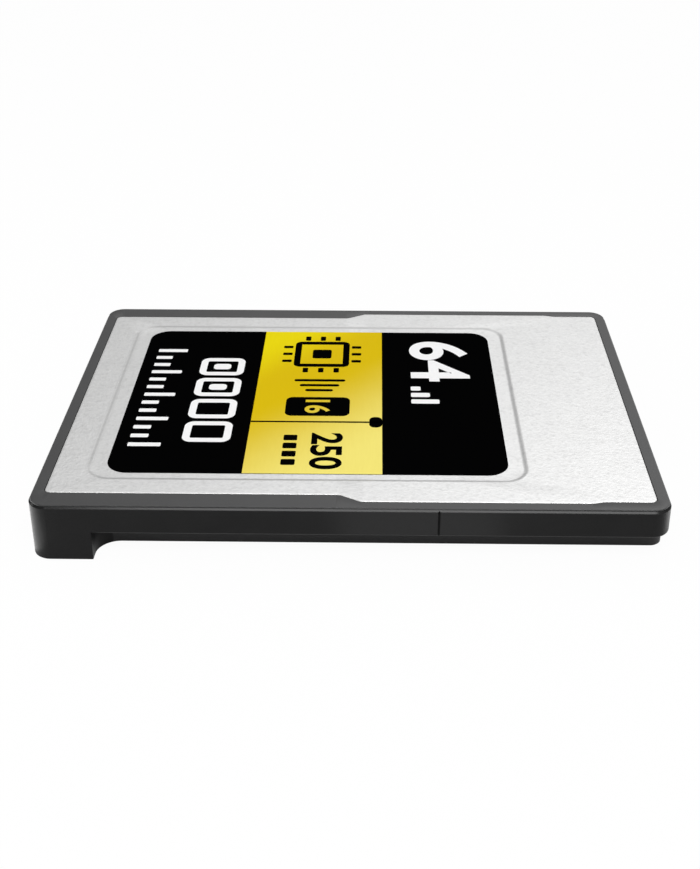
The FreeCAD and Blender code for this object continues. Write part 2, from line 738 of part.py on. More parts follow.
def make_sheet_piece(label, level, thickness, limits, radius, inner=None):
    """A flat piece with rounded corners, and with a rectangular opening where inner is given."""
    body = add_body(label, z=level)
    x_low, x_high, y_half = limits
    outline = add_sketch(body, "outline")
    draw_rectangle(outline, x_low, x_high, -y_half, y_half)
    pad(body, outline, thickness)
    for side, x in (("grip", x_low), ("nose", x_high)):
        round_edges(body, "corners_" + side, is_upright_at(x, y_half, ZERO, thickness), radius)
    if inner is not None:
        hole = add_sketch(body, "opening", thickness)
        draw_rectangle(hole, inner[0], inner[1], -inner[2], inner[2])
        pocket(body, hole, thickness)
    return body


def make_thin_pieces():
    """Label, bottom cover, its adhesive frame and the insulating film behind it."""
    margin = size.label_end_margin
    make_sheet_piece("label", size.card_height - size.recess_depth, size.label_thickness,
                     (recess_start + margin, recess_end - margin,
                      recess_half_width - size.label_side_margin), size.label_radius)
    gap = size.fit_clearance
    cover_limits = (rebate_start + gap, rebate_end - gap, rebate_half_width - gap)
    make_sheet_piece("bottom_cover", size.bottom_recess, size.bottom_thickness,
                     cover_limits, size.bottom_radius)
    back = size.adhesive_inset
    inner_level = size.bottom_recess + size.bottom_thickness
    make_sheet_piece("bottom_cover_adhesive", inner_level, size.adhesive_thickness,
                     (cover_limits[0] + back, cover_limits[1] - back, cover_limits[2] - back),
                     size.bottom_radius - back,
                     inner=(window_start - gap, window_end + gap, window_half_width + gap))
    back = size.film_gap
    make_sheet_piece("insulating_film", inner_level, size.adhesive_thickness,
                     (window_start + back, window_end - back, window_half_width - back),
                     size.bottom_radius)


def make_circuit_board():
    """Board that lies on the ledge, notched for the half-round posts."""
    body = make_sheet_piece("circuit_board", size.board_level, size.board_thickness,
                            (board_start, board_end, board_half_width), size.board_radius)
    notches = add_sketch(body, "notches", size.board_thickness)
    for y in (-cavity_half_width, cavity_half_width):
        draw_circle(notches, half_length - size.post_from_nose, y,
                    size.post_radius + size.fit_clearance)
    pocket(body, notches, size.board_thickness)
    return body


def make_contact_row(label, start):
    """A row of gold contacts under the board, one in each bay."""
    body = add_body(label, x=start, y=-contact_span / 2,
                    z=size.board_level - size.contact_thickness)
    plan = add_sketch(body, "plan")
    half = size.contact_width / 2
    draw_rectangle(plan, ZERO, size.contact_length, -half, half)
    first = pad(body, plan, size.contact_thickness)
    repeat(body, first, "Y_Axis", size.contact_spacing, size.contact_count, True)
    return body


def make_package(label, x, y, length, width, height, marked=True):
    """A moulded chip on top of the board: broken upper edges and a first-pin mark."""
    body = add_body(label, x=x, y=y, z=board_top)
    plan = add_sketch(body, "plan")
    draw_rectangle(plan, -length / 2, length / 2, -width / 2, width / 2)
    pad(body, plan, height)
    break_edges(body, "upper_edges", is_level_at(height), size.package_edge_break)
    if marked:
        dot = add_sketch(body, "dot", height)
        draw_circle(dot, size.dot_inset - length / 2, size.dot_inset - width / 2,
                    size.dot_radius)
        pocket(body, dot, size.dot_depth)
    return body


def make_heat_pad(label, x, y, length, width):
    """A soft heat-conducting pad between a package and the top cover."""
    body = add_body(label, x=x, y=y, z=board_top + package_height)
    plan = add_sketch(body, "plan")
    half_long = length / 2 - size.pad_inset
    half_wide = width / 2 - size.pad_inset
    draw_rectangle(plan, -half_long, half_long, -half_wide, half_wide)
    pad(body, plan, size.pad_thickness)
    return body


def draw_end_capped(body, length, width, height, along_y, down):
    """A ceramic block with a cap at each end, on or under the board."""
    cap = length * size.terminal_share
    proud = size.terminal_proud
    block = add_sketch(body, "block")
    caps = add_sketch(body, "caps")
    half_long = length / 2
    half_wide = width / 2 - proud
    if along_y:
        draw_rectangle(block, -half_wide, half_wide, cap - half_long, half_long - cap)
    else:
        draw_rectangle(block, cap - half_long, half_long - cap, -half_wide, half_wide)
    for low, high in ((-half_long, cap - half_long), (half_long - cap, half_long)):
        if along_y:
            draw_rectangle(caps, -width / 2, width / 2, low, high)
        else:
            draw_rectangle(caps, low, high, -width / 2, width / 2)
    middle = pad(body, block, height - proud, down=down)
    ends = pad(body, caps, height, down=down)
    return [middle, ends]


def make_small_part_row(label, place, part, pitch, count, axis):
    """A row of small parts with end caps. place is x, y, z; part is length, width, height."""
    body = add_body(label, x=place[0], y=place[1], z=place[2])
    down = place[2] is size.board_level
    features = draw_end_capped(body, part[0], part[1], part[2], axis == "X_Axis", down)
    repeat_all(body, features, [(axis, pitch, count)])
    return body


def repeat_all(body, features, steps):
    """Repeat several features together along one axis, or along one and then another."""
    before = body.Tip
    patterns = []
    for number, (axis, pitch, count) in enumerate(steps):
        pattern = document.addObject("PartDesign::LinearPattern",
                                     body.Label + "_step_" + str(number))
        pattern.Direction = (origin_feature(body, axis), [""])
        bind(pattern, "Length", pitch * (count - 1))
        bind(pattern, "Occurrences", count)
        patterns.append(pattern)
    feature = body.newObject("PartDesign::MultiTransform", body.Label + "_repeat")
    body.Tip = before
    feature.Originals = features
    feature.Transformations = patterns
    return checked(body, feature, True)


def make_board_parts():
    """Everything that is soldered to the board."""
    flash_length = flash_end - flash_start
    flash_width = 2 * (board_half_width - size.flash_side_margin)
    flash_x = (flash_start + flash_end) / 2
    make_package("flash_package", flash_x, ZERO, flash_length, flash_width, package_height)
    make_heat_pad("flash_heat_pad", flash_x, ZERO, flash_length, flash_width)
    controller_length = controller_end - power_start
    controller_width = controller_far - controller_near
    controller_x = (power_start + controller_end) / 2
    controller_y = (controller_near + controller_far) / 2
    make_package("controller_chip", controller_x, controller_y,
                 controller_length, controller_width, package_height)
    make_heat_pad("controller_heat_pad", controller_x, controller_y,
                  controller_length, controller_width)

    make_package("power_chip", (power_start + power_end) / 2, far_edge - size.power_size / 2,
                 size.power_size, size.power_size, low_part_height)
    make_package("crystal_can", nose_part_x, size.crystal_side_margin - board_half_width,
                 size.crystal_width, size.crystal_length, low_part_height, marked=False)
    make_package("startup_memory", nose_part_x, size.memory_side_margin - board_half_width,
                 size.memory_width, size.memory_length, low_part_height)
    make_small_part_row(
        "power_inductors", (first_inductor_x, far_edge - size.inductor_length / 2, board_top),
        (size.inductor_length, size.inductor_width, inductor_height),
        size.inductor_spacing, size.inductor_count, "X_Axis")

    # A second row behind the inductors: regulator, then bulk capacitors
    middle_far = far_edge - size.inductor_length - size.middle_row_gap
    regulator_start = power_end + size.middle_row_gap
    make_package("voltage_regulator", regulator_start + size.regulator_length / 2,
                 middle_far - size.regulator_width / 2,
                 size.regulator_length, size.regulator_width, low_part_height, marked=False)
    bulk_start = regulator_start + size.regulator_length + size.middle_row_gap
    make_small_part_row(
        "bulk_capacitors",
        (bulk_start + size.bulk_width / 2, middle_far - size.bulk_length / 2, board_top),
        (size.bulk_length, size.bulk_width, low_part_height),
        size.bulk_spacing, size.bulk_count, "X_Axis")

    small_part = (size.small_length, size.small_width, size.small_height)
    make_small_part_row(
        "resistors",
        (flash_end + size.resistor_gap + size.small_length / 2,
         -size.small_spacing * (size.resistor_count - 1) / 2, board_top),
        small_part, size.small_spacing, size.resistor_count, "Y_Axis")
    make_small_part_row(
        "coupling_capacitors",
        (nose_part_x, size.coupling_side_margin - board_half_width, board_top),
        small_part, size.coupling_spacing, size.coupling_count, "Y_Axis")
    make_small_part_row(
        "surge_protection",
        (window_end - size.surge_gap, -size.surge_spacing * (size.surge_count - 1) / 2,
         size.board_level),
        (size.surge_length, size.surge_width, underside_part_height),
        size.surge_spacing, size.surge_count, "Y_Axis")

    # Decoupling capacitors in columns and rows under the board
    body = add_body("decoupling_capacitors", x=board_start + size.decoupling_start,
                    y=-size.decoupling_spacing * (size.decoupling_rows - 1) / 2,
                    z=size.board_level)
    features = draw_end_capped(body, size.small_length, size.small_width,
                               underside_part_height, False, True)
    repeat_all(body, features, [
        ("X_Axis", size.decoupling_spacing, size.decoupling_columns),
        ("Y_Axis", size.decoupling_spacing, size.decoupling_rows),
    ])


def export_pieces():
    """Check every object of the document, then write each piece to its own file."""
    failed = [item.Name for item in document.Objects
              if "Invalid" in item.State or "Error" in item.State]
    if failed:
        raise RuntimeError("failed objects: " + ", ".join(failed))
    os.makedirs("parts", exist_ok=True)
    bodies = [item for item in document.Objects if item.TypeId == "PartDesign::Body"]
    for body in bodies:
        if body.Shape.isNull() or not body.Shape.isValid():
            raise RuntimeError(body.Label + " has no valid shape")
    for body in bodies:
        body.Shape.exportStep(os.path.join("parts", body.Label + ".step"))
        box = body.Shape.BoundBox
        limits = (box.XMin, box.XMax, box.YMin, box.YMax, box.ZMin, box.ZMax)
        print(body.Label, len(body.Shape.Solids), "solids", [round(value, 3) for value in limits])


make_lower_frame()
make_upper_frame()
make_top_cover()
make_thin_pieces()
make_circuit_board()
make_contact_row("front_contacts", front_contact_start)
make_contact_row("rear_contacts", rear_contact_start)
make_board_parts()
document.recompute()
export_pieces()
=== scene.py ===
import bpy
import numpy as np
from bpy.props import FloatProperty, FloatVectorProperty, PointerProperty, StringProperty
from bpy.types import Operator, Panel, PropertyGroup
from mathutils import Matrix, Vector


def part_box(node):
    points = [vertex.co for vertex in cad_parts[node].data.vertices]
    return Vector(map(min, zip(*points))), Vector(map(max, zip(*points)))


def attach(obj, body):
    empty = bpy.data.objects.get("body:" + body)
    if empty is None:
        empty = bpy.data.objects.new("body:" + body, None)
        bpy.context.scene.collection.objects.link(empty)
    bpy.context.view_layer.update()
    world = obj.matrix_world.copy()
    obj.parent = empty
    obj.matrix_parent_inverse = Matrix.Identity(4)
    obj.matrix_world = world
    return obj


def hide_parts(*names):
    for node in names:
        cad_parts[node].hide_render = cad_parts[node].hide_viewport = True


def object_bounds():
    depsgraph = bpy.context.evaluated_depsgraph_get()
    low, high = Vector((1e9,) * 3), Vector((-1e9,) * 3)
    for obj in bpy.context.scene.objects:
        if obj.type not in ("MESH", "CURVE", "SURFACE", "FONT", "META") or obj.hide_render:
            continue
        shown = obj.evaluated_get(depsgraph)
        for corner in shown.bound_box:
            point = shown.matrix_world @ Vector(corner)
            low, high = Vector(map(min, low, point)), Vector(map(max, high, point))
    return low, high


bl_info = {
    "name": "Memory card",
    "version": (1, 0, 0),
    "blender": (4, 5, 0),
    "location": "3D View > Sidebar > Memory card",
    "description": "Dresses the packed frame of a small memory card for its studio picture",
    "category": "Object",
}

# The frame is loaded once, at the top, so that default sizes can come from it
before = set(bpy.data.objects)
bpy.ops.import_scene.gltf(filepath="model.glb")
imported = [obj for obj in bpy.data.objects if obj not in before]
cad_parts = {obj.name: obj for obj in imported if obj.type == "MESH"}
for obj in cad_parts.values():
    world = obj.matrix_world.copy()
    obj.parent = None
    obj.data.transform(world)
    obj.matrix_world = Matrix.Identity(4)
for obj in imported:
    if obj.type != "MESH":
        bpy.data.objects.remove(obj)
frame_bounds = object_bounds()
MM = 0.001


def node_box(name):
    """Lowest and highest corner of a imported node, in millimetres."""
    low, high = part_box(name)
    return np.array(low) / MM, np.array(high) / MM


CARD_LOW, CARD_HIGH = node_box("lower_frame")
COVER_LOW, COVER_HIGH = node_box("top_cover")
BEZEL_LOW, BEZEL_HIGH = node_box("upper_frame")
LABEL_LOW, LABEL_HIGH = node_box("label")
PLATE_LEVEL = float(COVER_HIGH[2])
RIM_LEVEL = float(CARD_HIGH[2])

# Lengths that only the construction needs, in millimetres
SHOULDER_REACH = 0.12  # rounding at the shoulders and steps of the cover
NOSE_STATIONS = 2.8, 2.2  # where the recess has points to match the nose step of the cover
FLOOR_LAP = 0.5  # flat ring of the recess floor, before the face that fills it
UNDER_LAP = 0.3  # flat ring of the cover's lower side, inside its rim
UPPER_LAP = 0.12  # flat ring of its upper side, inside its rim
BEZEL_LAP = 0.2  # how far the bezel reaches over the lower frame
BEZEL_SOFT = 0.02  # rounding of its lower and inner edges
PAD_WIDTH = 0.9  # one plated contact
PAD_COUNT = 9  # contacts in a row

# Layout of the label: low and high corners as X along the card and Y across it
LARGE_NUMBER_BOX = (2.9, 1.6), (6.0, 6.1)
SMALL_NUMBER_BOX = (-1.9, -6.8), (-0.4, -3.6)
BLOCK_BOX = (-3.3, -2.0), (-0.14, -0.14)
BLOCK_NUMBER_BOX = (-2.35, -1.72), (-1.1, -0.42)
SIGNAL_FOOT, SIGNAL_TOP, SIGNAL_PITCH, SIGNAL_WIDTH = 2.9, 0.62, 0.66, 0.42
SIGNAL_HEIGHTS = 0.5, 0.95, 1.4
RING_COUNT, RING_START, RING_END, RING_TOP = 4, -8.0, -5.7, 4.0
RING_PITCH, RING_WIDTH, RING_RADIUS, RING_WALL = 2.2, 1.9, 0.45, 0.36
DOTTED_RINGS, DOT_START, DOT_END, DOT_LOW, DOT_HIGH = 2, -7.3, -6.4, 1.25, 0.65
RULE_COUNT, RULE_FOOT, RULE_TOP, RULE_PITCH, RULE_WIDTH = 13, -10.45, 5.0, 0.8, 0.32
LONG_RULE, SHORT_RULE = 1.55, 0.85
CHIP_MIDDLE, CHIP_HALF, CHIP_RADIUS, CHIP_WALL = (-1.72, 4.55), 1.45, 0.35, 0.34
CORE_HALF, LEG_PLACES, LEG_HALF = 0.5, (-0.8, 0.0, 0.8), 0.14
LEG_START, LEG_END = 0.12, 0.62
STRIPE_LENGTHS, STRIPE_TOP, STRIPE_PITCH, STRIPE_WIDTH = (2.6, 2.0, 1.4), 1.5, 0.52, 0.24
SQUARE_COUNT, SQUARE_START, SQUARE_END = 4, -3.2, -2.55
SQUARE_TOP, SQUARE_PITCH, SQUARE_WIDTH = -3.8, 0.72, 0.5
DIVIDER_HALF, TAB_LENGTH, TAB_HALF, TAB_RADIUS = 0.065, 0.62, 0.5, 0.3


# Plan outlines and lofted skins

def rounded_outline(corners, reach, arc_points=9, side_points=3):
    """Closed outline through rounded corners, as an array of points.

    Each corner is a conic from its first tangent point A over the corner C to its second one B:
    P(s) = ((1-s)^2 A + 2 w s (1-s) C + s^2 B) / ((1-s)^2 + 2 w s (1-s) + s^2), where w is the
    cosine of half the turn, which makes it an exact arc of a circle. A corner with no turn gives
    a straight run. Between two corners the points are spaced evenly on the straight side.
    """
    corners = np.asarray(corners, float)
    reach = np.broadcast_to(np.asarray(reach, float), len(corners))[:, None]
    ahead = np.roll(corners, -1, 0) - corners
    ahead /= np.linalg.norm(ahead, axis=1)[:, None]
    behind = np.roll(ahead, 1, 0)
    start = corners - reach * behind
    end = corners + reach * ahead
    weight = np.sqrt((1 + np.sum(ahead * behind, 1)) / 2)[:, None, None]
    s = np.linspace(0, 1, arc_points)[None, :, None]
    blend = (1 - s) ** 2, 2 * weight * s * (1 - s), s ** 2
    arcs = blend[0] * start[:, None] + blend[1] * corners[:, None] + blend[2] * end[:, None]
    arcs /= sum(blend)
    t = (np.arange(1, side_points + 1) / (side_points + 1))[None, :, None]
    sides = (1 - t) * end[:, None] + t * np.roll(start, -1, 0)[:, None]
    return np.concatenate([arcs, sides], 1).reshape(-1, 2)


def rectangle(low, high, radius, arc_points=9):
    """Rectangle between two corners, with round corners, counter-clockwise."""
    (x0, y0), (x1, y1) = low[:2], high[:2]
    corners = [(x0, y0), (x1, y0), (x1, y1), (x0, y1)]
    return rounded_outline(corners, radius, arc_points, 1)


def carry(outline, profile):
    """Rings of a profile carried along an outline.

    The ring for profile row (d, z) lies the distance d outside the outline at height z: each
    point moves by d along its outward normal, which is the mean of the normals of the two
    segments that meet there, stretched so that the segments stay parallel.
    """
    edge = np.roll(outline, -1, 0) - outline
    edge /= np.linalg.norm(edge, axis=1)[:, None]
    normal = np.stack([edge[:, 1], -edge[:, 0]], 1)
    bisector = normal + np.roll(normal, 1, 0)
    bisector *= 2 / np.sum(bisector ** 2, 1)[:, None]
    profile = np.asarray(profile, float)
    plan = outline[None] + profile[:, :1, None] * bisector[None]
    height = np.broadcast_to(profile[:, 1:, None], plan.shape[:2] + (1,))
    return np.concatenate([plan, height], 2)


def quarter(centre, radius, start, end, steps=4):
    """Profile of an arc: d = centre + radius cos(a), z = centre + radius sin(a), a in degrees."""
    angle = np.radians(np.linspace(start, end, steps + 1))
    return np.stack([centre[0] + radius * np.cos(angle), centre[1] + radius * np.sin(angle)], 1)


class Skin:
    """Points and faces of one piece, gathered before they become a mesh."""

    def __init__(self):
        self.points = []
        self.faces = []
        self.count = 0

    def loft(self, rings, tube=False):
        """Quads between rings; a tube closes its section, anything else gets a cap at each end.

        Rings run counter-clockwise seen from above and the section runs outwards below, up the
        side and back inwards on top, which turns every face outwards.
        """
        rings = np.asarray(rings, float)
        index = self.count + np.arange(rings.shape[0] * rings.shape[1]).reshape(rings.shape[:2])
        if tube:
            index = np.vstack([index, index[:1]])
        else:
            self.faces += [index[0, ::-1].tolist(), index[-1].tolist()]
        near, far = index[:-1], index[1:]
        quads = np.stack([near, np.roll(near, -1, 1), np.roll(far, -1, 1), far], 2)
        self.faces += quads.reshape(-1, 4).tolist()
        self.add_points(rings.reshape(-1, 3))

    def add_points(self, points):
        """Keep points, given in millimetres."""
        self.points.append(points)
        self.count += len(points)

    def slab(self, outline, low, high, edge=0.0):
        """Flat piece with this outline; its upper rim is rounded by edge."""
        profile = [(0, low)]
        if edge:
            profile += quarter((-edge, high - edge), edge, 0, 90, 3).tolist()
        else:
            profile += [(0, high)]
        self.loft(carry(outline, profile))

    def band(self, outer, width, low, high):
        """Flat ring that lies inside an outline, width broad."""
        section = [(-width, low), (0, low), (0, high), (-width, high)]
        self.loft(carry(outer, section), tube=True)

    def finish(self, name, material, sharp_angle=32.0, slot=None, replaced=()):
        """Make the object at the origin, in metres, shade it and tie it to the frame."""
        mesh = bpy.data.meshes.new(name)
        mesh.from_pydata(np.concatenate(self.points) * MM, [], self.faces)
        mesh.validate()
        mesh.shade_smooth()
        mesh.set_sharp_from_angle(angle=np.radians(sharp_angle))
        mesh.materials.append(material)
        piece = bpy.data.objects.new(name, mesh)
        bpy.context.scene.collection.objects.link(piece)
        even = piece.modifiers.new("even_normals", "WEIGHTED_NORMAL")
        even.keep_sharp = True
        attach(piece, "root")
        if replaced:
            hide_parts(*replaced)
        return piece


# Shader arithmetic

class Wire:
    """A shader socket that takes part in Python sums; each operator adds its Math node."""

    def __init__(self, recipe, socket):
        self.recipe = recipe
        self.socket = socket

    def math(self, operation, *others):
        """This value and others through one Math node."""
        return self.recipe.node("ShaderNodeMath", {"operation": operation},
                                dict(enumerate((self,) + others)))

    def __add__(self, other):
        return self.math("ADD", other)

    __radd__ = __add__

    def __mul__(self, other):
        return self.math("MULTIPLY", other)

    __rmul__ = __mul__

    def __sub__(self, other):
        return self.math("SUBTRACT", other)

    def __rsub__(self, other):
        return self.math("MULTIPLY_ADD", -1.0, other)

    def clamp(self, low, high):
        """Map low...high to 0...1 with soft ends."""
        return self.recipe.node("ShaderNodeMapRange", {"interpolation_type": "SMOOTHSTEP"},
                                {"Value": self, "From Min": low, "From Max": high})


class Recipe:
    """Node tree of one material, with places in millimetres, or of the world."""

    def __init__(self, owner, coordinates="Object", scale=1 / MM):
        self.owner = owner
        owner.use_nodes = True
        self.tree = owner.node_tree
        self.tree.nodes.clear()
        place = self.node("ShaderNodeTexCoord", output=coordinates)
        self.place = self.node("ShaderNodeMapping", {}, {"Vector": place, "Scale": (scale,) * 3})

    def node(self, kind, settings=None, inputs=None, output=0):
        """Add a node: its settings first, then the values or links of its sockets."""
        made = self.tree.nodes.new(kind)
        for key, value in (settings or {}).items():
            setattr(made, key, value)
        for key, value in (inputs or {}).items():
            if isinstance(value, Wire):
                self.tree.links.new(value.socket, made.inputs[key])
            else:
                made.inputs[key].default_value = value
        return Wire(self, made.outputs[output]) if len(made.outputs) else None

    def grain(self, size, detail=3.0, roughness=0.5, stretch=(1, 1, 1)):
        """Noise from 0 to 1 whose blotches are about size millimetres across."""
        place = self.node("ShaderNodeMapping", {}, {"Vector": self.place, "Scale": stretch})
        return self.node("ShaderNodeTexNoise", {}, {
            "Vector": place, "Scale": 1 / size, "Detail": detail, "Roughness": roughness})

    def axis(self, letter):
        """One coordinate of the place on the object, or of a direction of the world."""
        return self.node("ShaderNodeSeparateXYZ", {}, {0: self.place}, letter)

    def ray(self, kind):
        """One for rays of this kind, nought for the others."""
        return self.node("ShaderNodeLightPath", output="Is " + kind + " Ray")

    def ramp(self, factor, stops):
        """Colour that eases from stop to stop; each is a place from nought to one and a colour."""
        made = self.node("ShaderNodeValToRGB", {}, {0: factor})
        band = made.socket.node.color_ramp
        band.interpolation = "EASE"
        for place, _ in stops[2:]:
            band.elements.new(place)
        for element, (place, colour) in zip(band.elements, stops):
            element.position = place
            element.color = tuple(colour)[:3] + (1.0,)
        return made

    def colour(self, factor, first, second):
        """Mix of two colours, either of which may be a link."""
        mix = self.node("ShaderNodeMix", {"data_type": "RGBA"}, {"Factor": factor}, 2)
        for key, value in ((6, first), (7, second)):
            slot = mix.socket.node.inputs[key]
            if isinstance(value, Wire):
                self.tree.links.new(value.socket, slot)
            else:
                slot.default_value = tuple(value)[:3] + (1.0,)
        return mix

    def bump(self, height, depth, strength=1.0):
        """Surface relief of depth millimetres where height goes from 0 to 1."""
        return self.node("ShaderNodeBump", {}, {
            "Height": height, "Distance": depth * MM, "Strength": strength}, "Normal")

    def shade(self, base, roughness, bump=None, **constants):
        """Join the surface shader to the output; other sockets only take plain numbers."""
        inputs = {"Base Color": base, "Roughness": roughness}
        if not isinstance(base, Wire):
            inputs["Base Color"] = tuple(base)[:3] + (1.0,)
        if bump:
            inputs["Normal"] = bump
        inputs.update({key.replace("_", " "): value for key, value in constants.items()})
        surface = self.node("ShaderNodeBsdfPrincipled", {}, inputs)
        self.node("ShaderNodeOutputMaterial", {}, {"Surface": surface})
        return self.owner


def tint(colour, factor):
    """A colour made lighter or darker."""
    return tuple(channel * factor for channel in tuple(colour)[:3])


# Finishes

def moulded_plastic(name, colour, roughness, specular, rim=9.0, dull=None, relief=0.004):
    """Black moulding with the fine even grain of an etched tool and faint flow blotches.

    Above the height rim it is smoother, as an edge is that cards are pushed in and out by.
    Dull gives a start along X, a height and a colour for painted light: past the start and below
    the height, on the lower body that the rails shade, the moulding is painted that paler colour.
    """
    made = Recipe(bpy.data.materials.new(name))
    fine = made.grain(0.055, 2.0, 0.6)
    broad = made.grain(1.6, 2.0)
    shade = made.colour(broad.clamp(0.25, 0.75), tint(colour, 0.86), tint(colour, 1.14))
    shade = made.colour(fine.clamp(0.35, 0.75) * 0.35, shade, tint(colour, 1.9))
    # Painted light: the lower body under the rails, which they shade, gets a paler colour
    if dull:
        start, top, paler = dull
        painted_light_mask = made.axis("X").clamp(start - 0.05, start + 0.05)
        painted_light_mask = painted_light_mask * (1.0 - made.axis("Z").clamp(top - 0.02, top + 0.02))
        shade = made.colour(painted_light_mask, shade, paler)
    smooth = made.axis("Z").clamp(rim - 0.005, rim + 0.005)
    rough = roughness - 0.04 + broad * 0.08 - smooth * (roughness - 0.17)
    relief_height = fine * (1.0 - smooth * 0.8)
    return made.shade(shade, rough, made.bump(relief_height, relief, 0.7),
                      Specular_IOR_Level=specular)


def frame_distance(made, low, high, radius):
    """Distance of a place from a rounded rectangle in plan: below nought inside, above outside.

    With q = |p - centre| - (half size - radius) it is |max(q, 0)| + min(max(qx, qy), 0) - radius.
    """
    over = []
    for letter, start, end in zip("XY", low, high):
        away = (made.axis(letter) - (start + end) / 2).math("ABSOLUTE")
        over.append(away - ((end - start) / 2 - radius))
    corner = over[0].math("MAXIMUM", 0.0).math("POWER", 2.0)
    corner = corner + over[1].math("MAXIMUM", 0.0).math("POWER", 2.0)
    return corner.math("SQRT") + over[0].math("MAXIMUM", over[1]).math("MINIMUM", 0.0) - radius


def blasted_metal(name, colour, roughness, pressed=None, relief=0.01):
    """Sheet metal blasted with fine beads: pale dimples, soft broad clouds, faint rolling lines.

    Pressed gives the two corners, the plan radius, the width and the shade of the slope round the
    recess. That shade is painted shade: the slope's colour is darkened, except on the near side,
    and it is paler towards the insertion end.
    """
    made = Recipe(bpy.data.materials.new(name))
    beads = made.grain(0.11, 3.0, 0.6)
    dimples = made.grain(0.22, 2.0, 0.6)
    clouds = made.grain(1.1, 4.0, 0.6)
    rolling = made.grain(0.5, 2.0, 0.5, (0.12, 1.0, 1.0))
    shade = made.colour(clouds.clamp(0.25, 0.75), tint(colour, 0.975), tint(colour, 1.025))
    shade = made.colour(beads.clamp(0.3, 0.7) * 0.8, shade, tint(colour, 1.12))
    shade = made.colour(dimples.clamp(0.5, 0.75) * 0.75, shade, tint(colour, 0.88))
    # Painted shade: the slope round the label recess is darkened in the colour, except on the near
    # side and less towards the insertion end
    if pressed:
        low, high, radius, width, painted_shade_tone = pressed
        middle = frame_distance(made, low, high, radius) + width / 2
        line = 1.0 - middle.math("ABSOLUTE").clamp(0.0, width * 0.7)
        painted_shade_share = 0.9 - made.axis("X").clamp(high[0] - 1.2, high[0] - 0.3) * 0.4
        painted_shade_share = painted_shade_share * made.axis("Y").clamp(low[1] + 0.2, low[1] + 1.5)
        shade = made.colour(line * painted_shade_share, shade, tint(colour, painted_shade_tone))
    rough = roughness - 0.05 + clouds * 0.06 + rolling * 0.04
    height = beads * 0.7 + dimples + rolling * 0.2
    return made.shade(shade, rough, made.bump(height, relief, 0.8), Metallic=1.0)


def foil_print(name, warm, bright, pale, roughness):
    """Gold foil under clear film, with painted sheen: a gradient that slants over the field from X
    - Y.
    """
    made = Recipe(bpy.data.materials.new(name))
    # Painted sheen: the foil's colour runs from bright to warm to pale across the field
    painted_sheen_slant = made.axis("X") - made.axis("Y") + made.grain(2.4, 2.0) * 0.8
    place = painted_sheen_slant.math("MULTIPLY_ADD", 1 / 24, 0.5)
    base = made.ramp(place, [(0.08, bright), (0.29, warm), (0.375, warm), (0.77, pale)])
    brushed = made.grain(0.09, 2.0, 0.5, (1.0, 0.1, 1.0))
    shade = made.colour(brushed * 0.12, base, tint(warm, 0.8))
    return made.shade(shade, roughness + brushed * 0.05, made.bump(brushed, 0.001, 0.5),
                      Specular_IOR_Level=0.01)


def ink(name, colour, roughness, specular):
    """Screen-printed ink with a faint mottle."""
    made = Recipe(bpy.data.materials.new(name))
    mottle = made.grain(0.12, 2.0)
    shade = made.colour(mottle.clamp(0.2, 0.8), tint(colour, 0.96), colour)
    return made.shade(shade, roughness - 0.03 + mottle * 0.06, made.bump(mottle, 0.0015, 0.5),
                      Specular_IOR_Level=specular)


def gold_plating(name, colour):
    """Hard gold over nickel, with the fine lines that a socket's springs wipe into it."""
    made = Recipe(bpy.data.materials.new(name))
    wiped = made.grain(0.06, 2.0, 0.6, (0.06, 1.0, 1.0))
    tone = made.grain(0.7, 3.0)
    shade = made.colour(tone, tint(colour, 0.86), tint(colour, 1.08))
    return made.shade(shade, 0.2 + wiped * 0.16, made.bump(wiped, 0.0015, 0.6), Metallic=1.0)


def circuit_laminate(name, mask, copper):
    """Solder mask over copper: fine parallel tracks that show lighter, and the glass weave."""
    made = Recipe(bpy.data.materials.new(name))
    lines = made.node("ShaderNodeTexWave", {"bands_direction": "Y", "wave_profile": "SIN"}, {
        "Vector": made.place, "Scale": 0.42, "Distortion": 0.0})
    areas = made.grain(2.2, 1.0).clamp(0.44, 0.5)
    track = lines.clamp(0.55, 0.7) * areas
    weave = made.grain(0.12, 1.0, 0.5, (1.0, 0.35, 1.0))
    shade = made.colour(track, mask, copper)
    height = track * 0.8 + weave * 0.2
    return made.shade(shade, 0.3 + weave * 0.12, made.bump(height, 0.012, 0.8))


def package_resin(name, colour, roughness):
    """Moulded epoxy of a chip: dull, with fine filler grains and paler specks."""
    made = Recipe(bpy.data.materials.new(name))
    filler = made.grain(0.07, 3.0, 0.6)
    specks = made.grain(0.045, 1.0).clamp(0.68, 0.76)
    shade = made.colour(specks * 0.5, tint(colour, 1.0), tint(colour, 3.0))
    return made.shade(shade, roughness + filler * 0.15, made.bump(filler, 0.006, 0.7))


def soft_pad(name, colour):
    """Filled silicone: matt, faintly mottled, with a soft skin."""
    made = Recipe(bpy.data.materials.new(name))
    mottle = made.grain(0.35, 4.0, 0.6)
    shade = made.colour(mottle, tint(colour, 0.88), tint(colour, 1.1))
    return made.shade(shade, 0.75 + mottle * 0.15, made.bump(mottle, 0.02, 0.6))


def fired_ceramic(name, body, ends, end_share):
    """Small fired part: glazed body with paler fired patches, grainy all over."""
    made = Recipe(bpy.data.materials.new(name))
    glaze = made.grain(0.16, 3.0, 0.6)
    patches = made.grain(0.5, 1.0).clamp(1 - end_share - 0.08, 1 - end_share)
    shade = made.colour(patches, tint(body, 1.0), ends)
    return made.shade(shade, 0.3 + glaze * 0.2, made.bump(glaze, 0.01, 0.6))


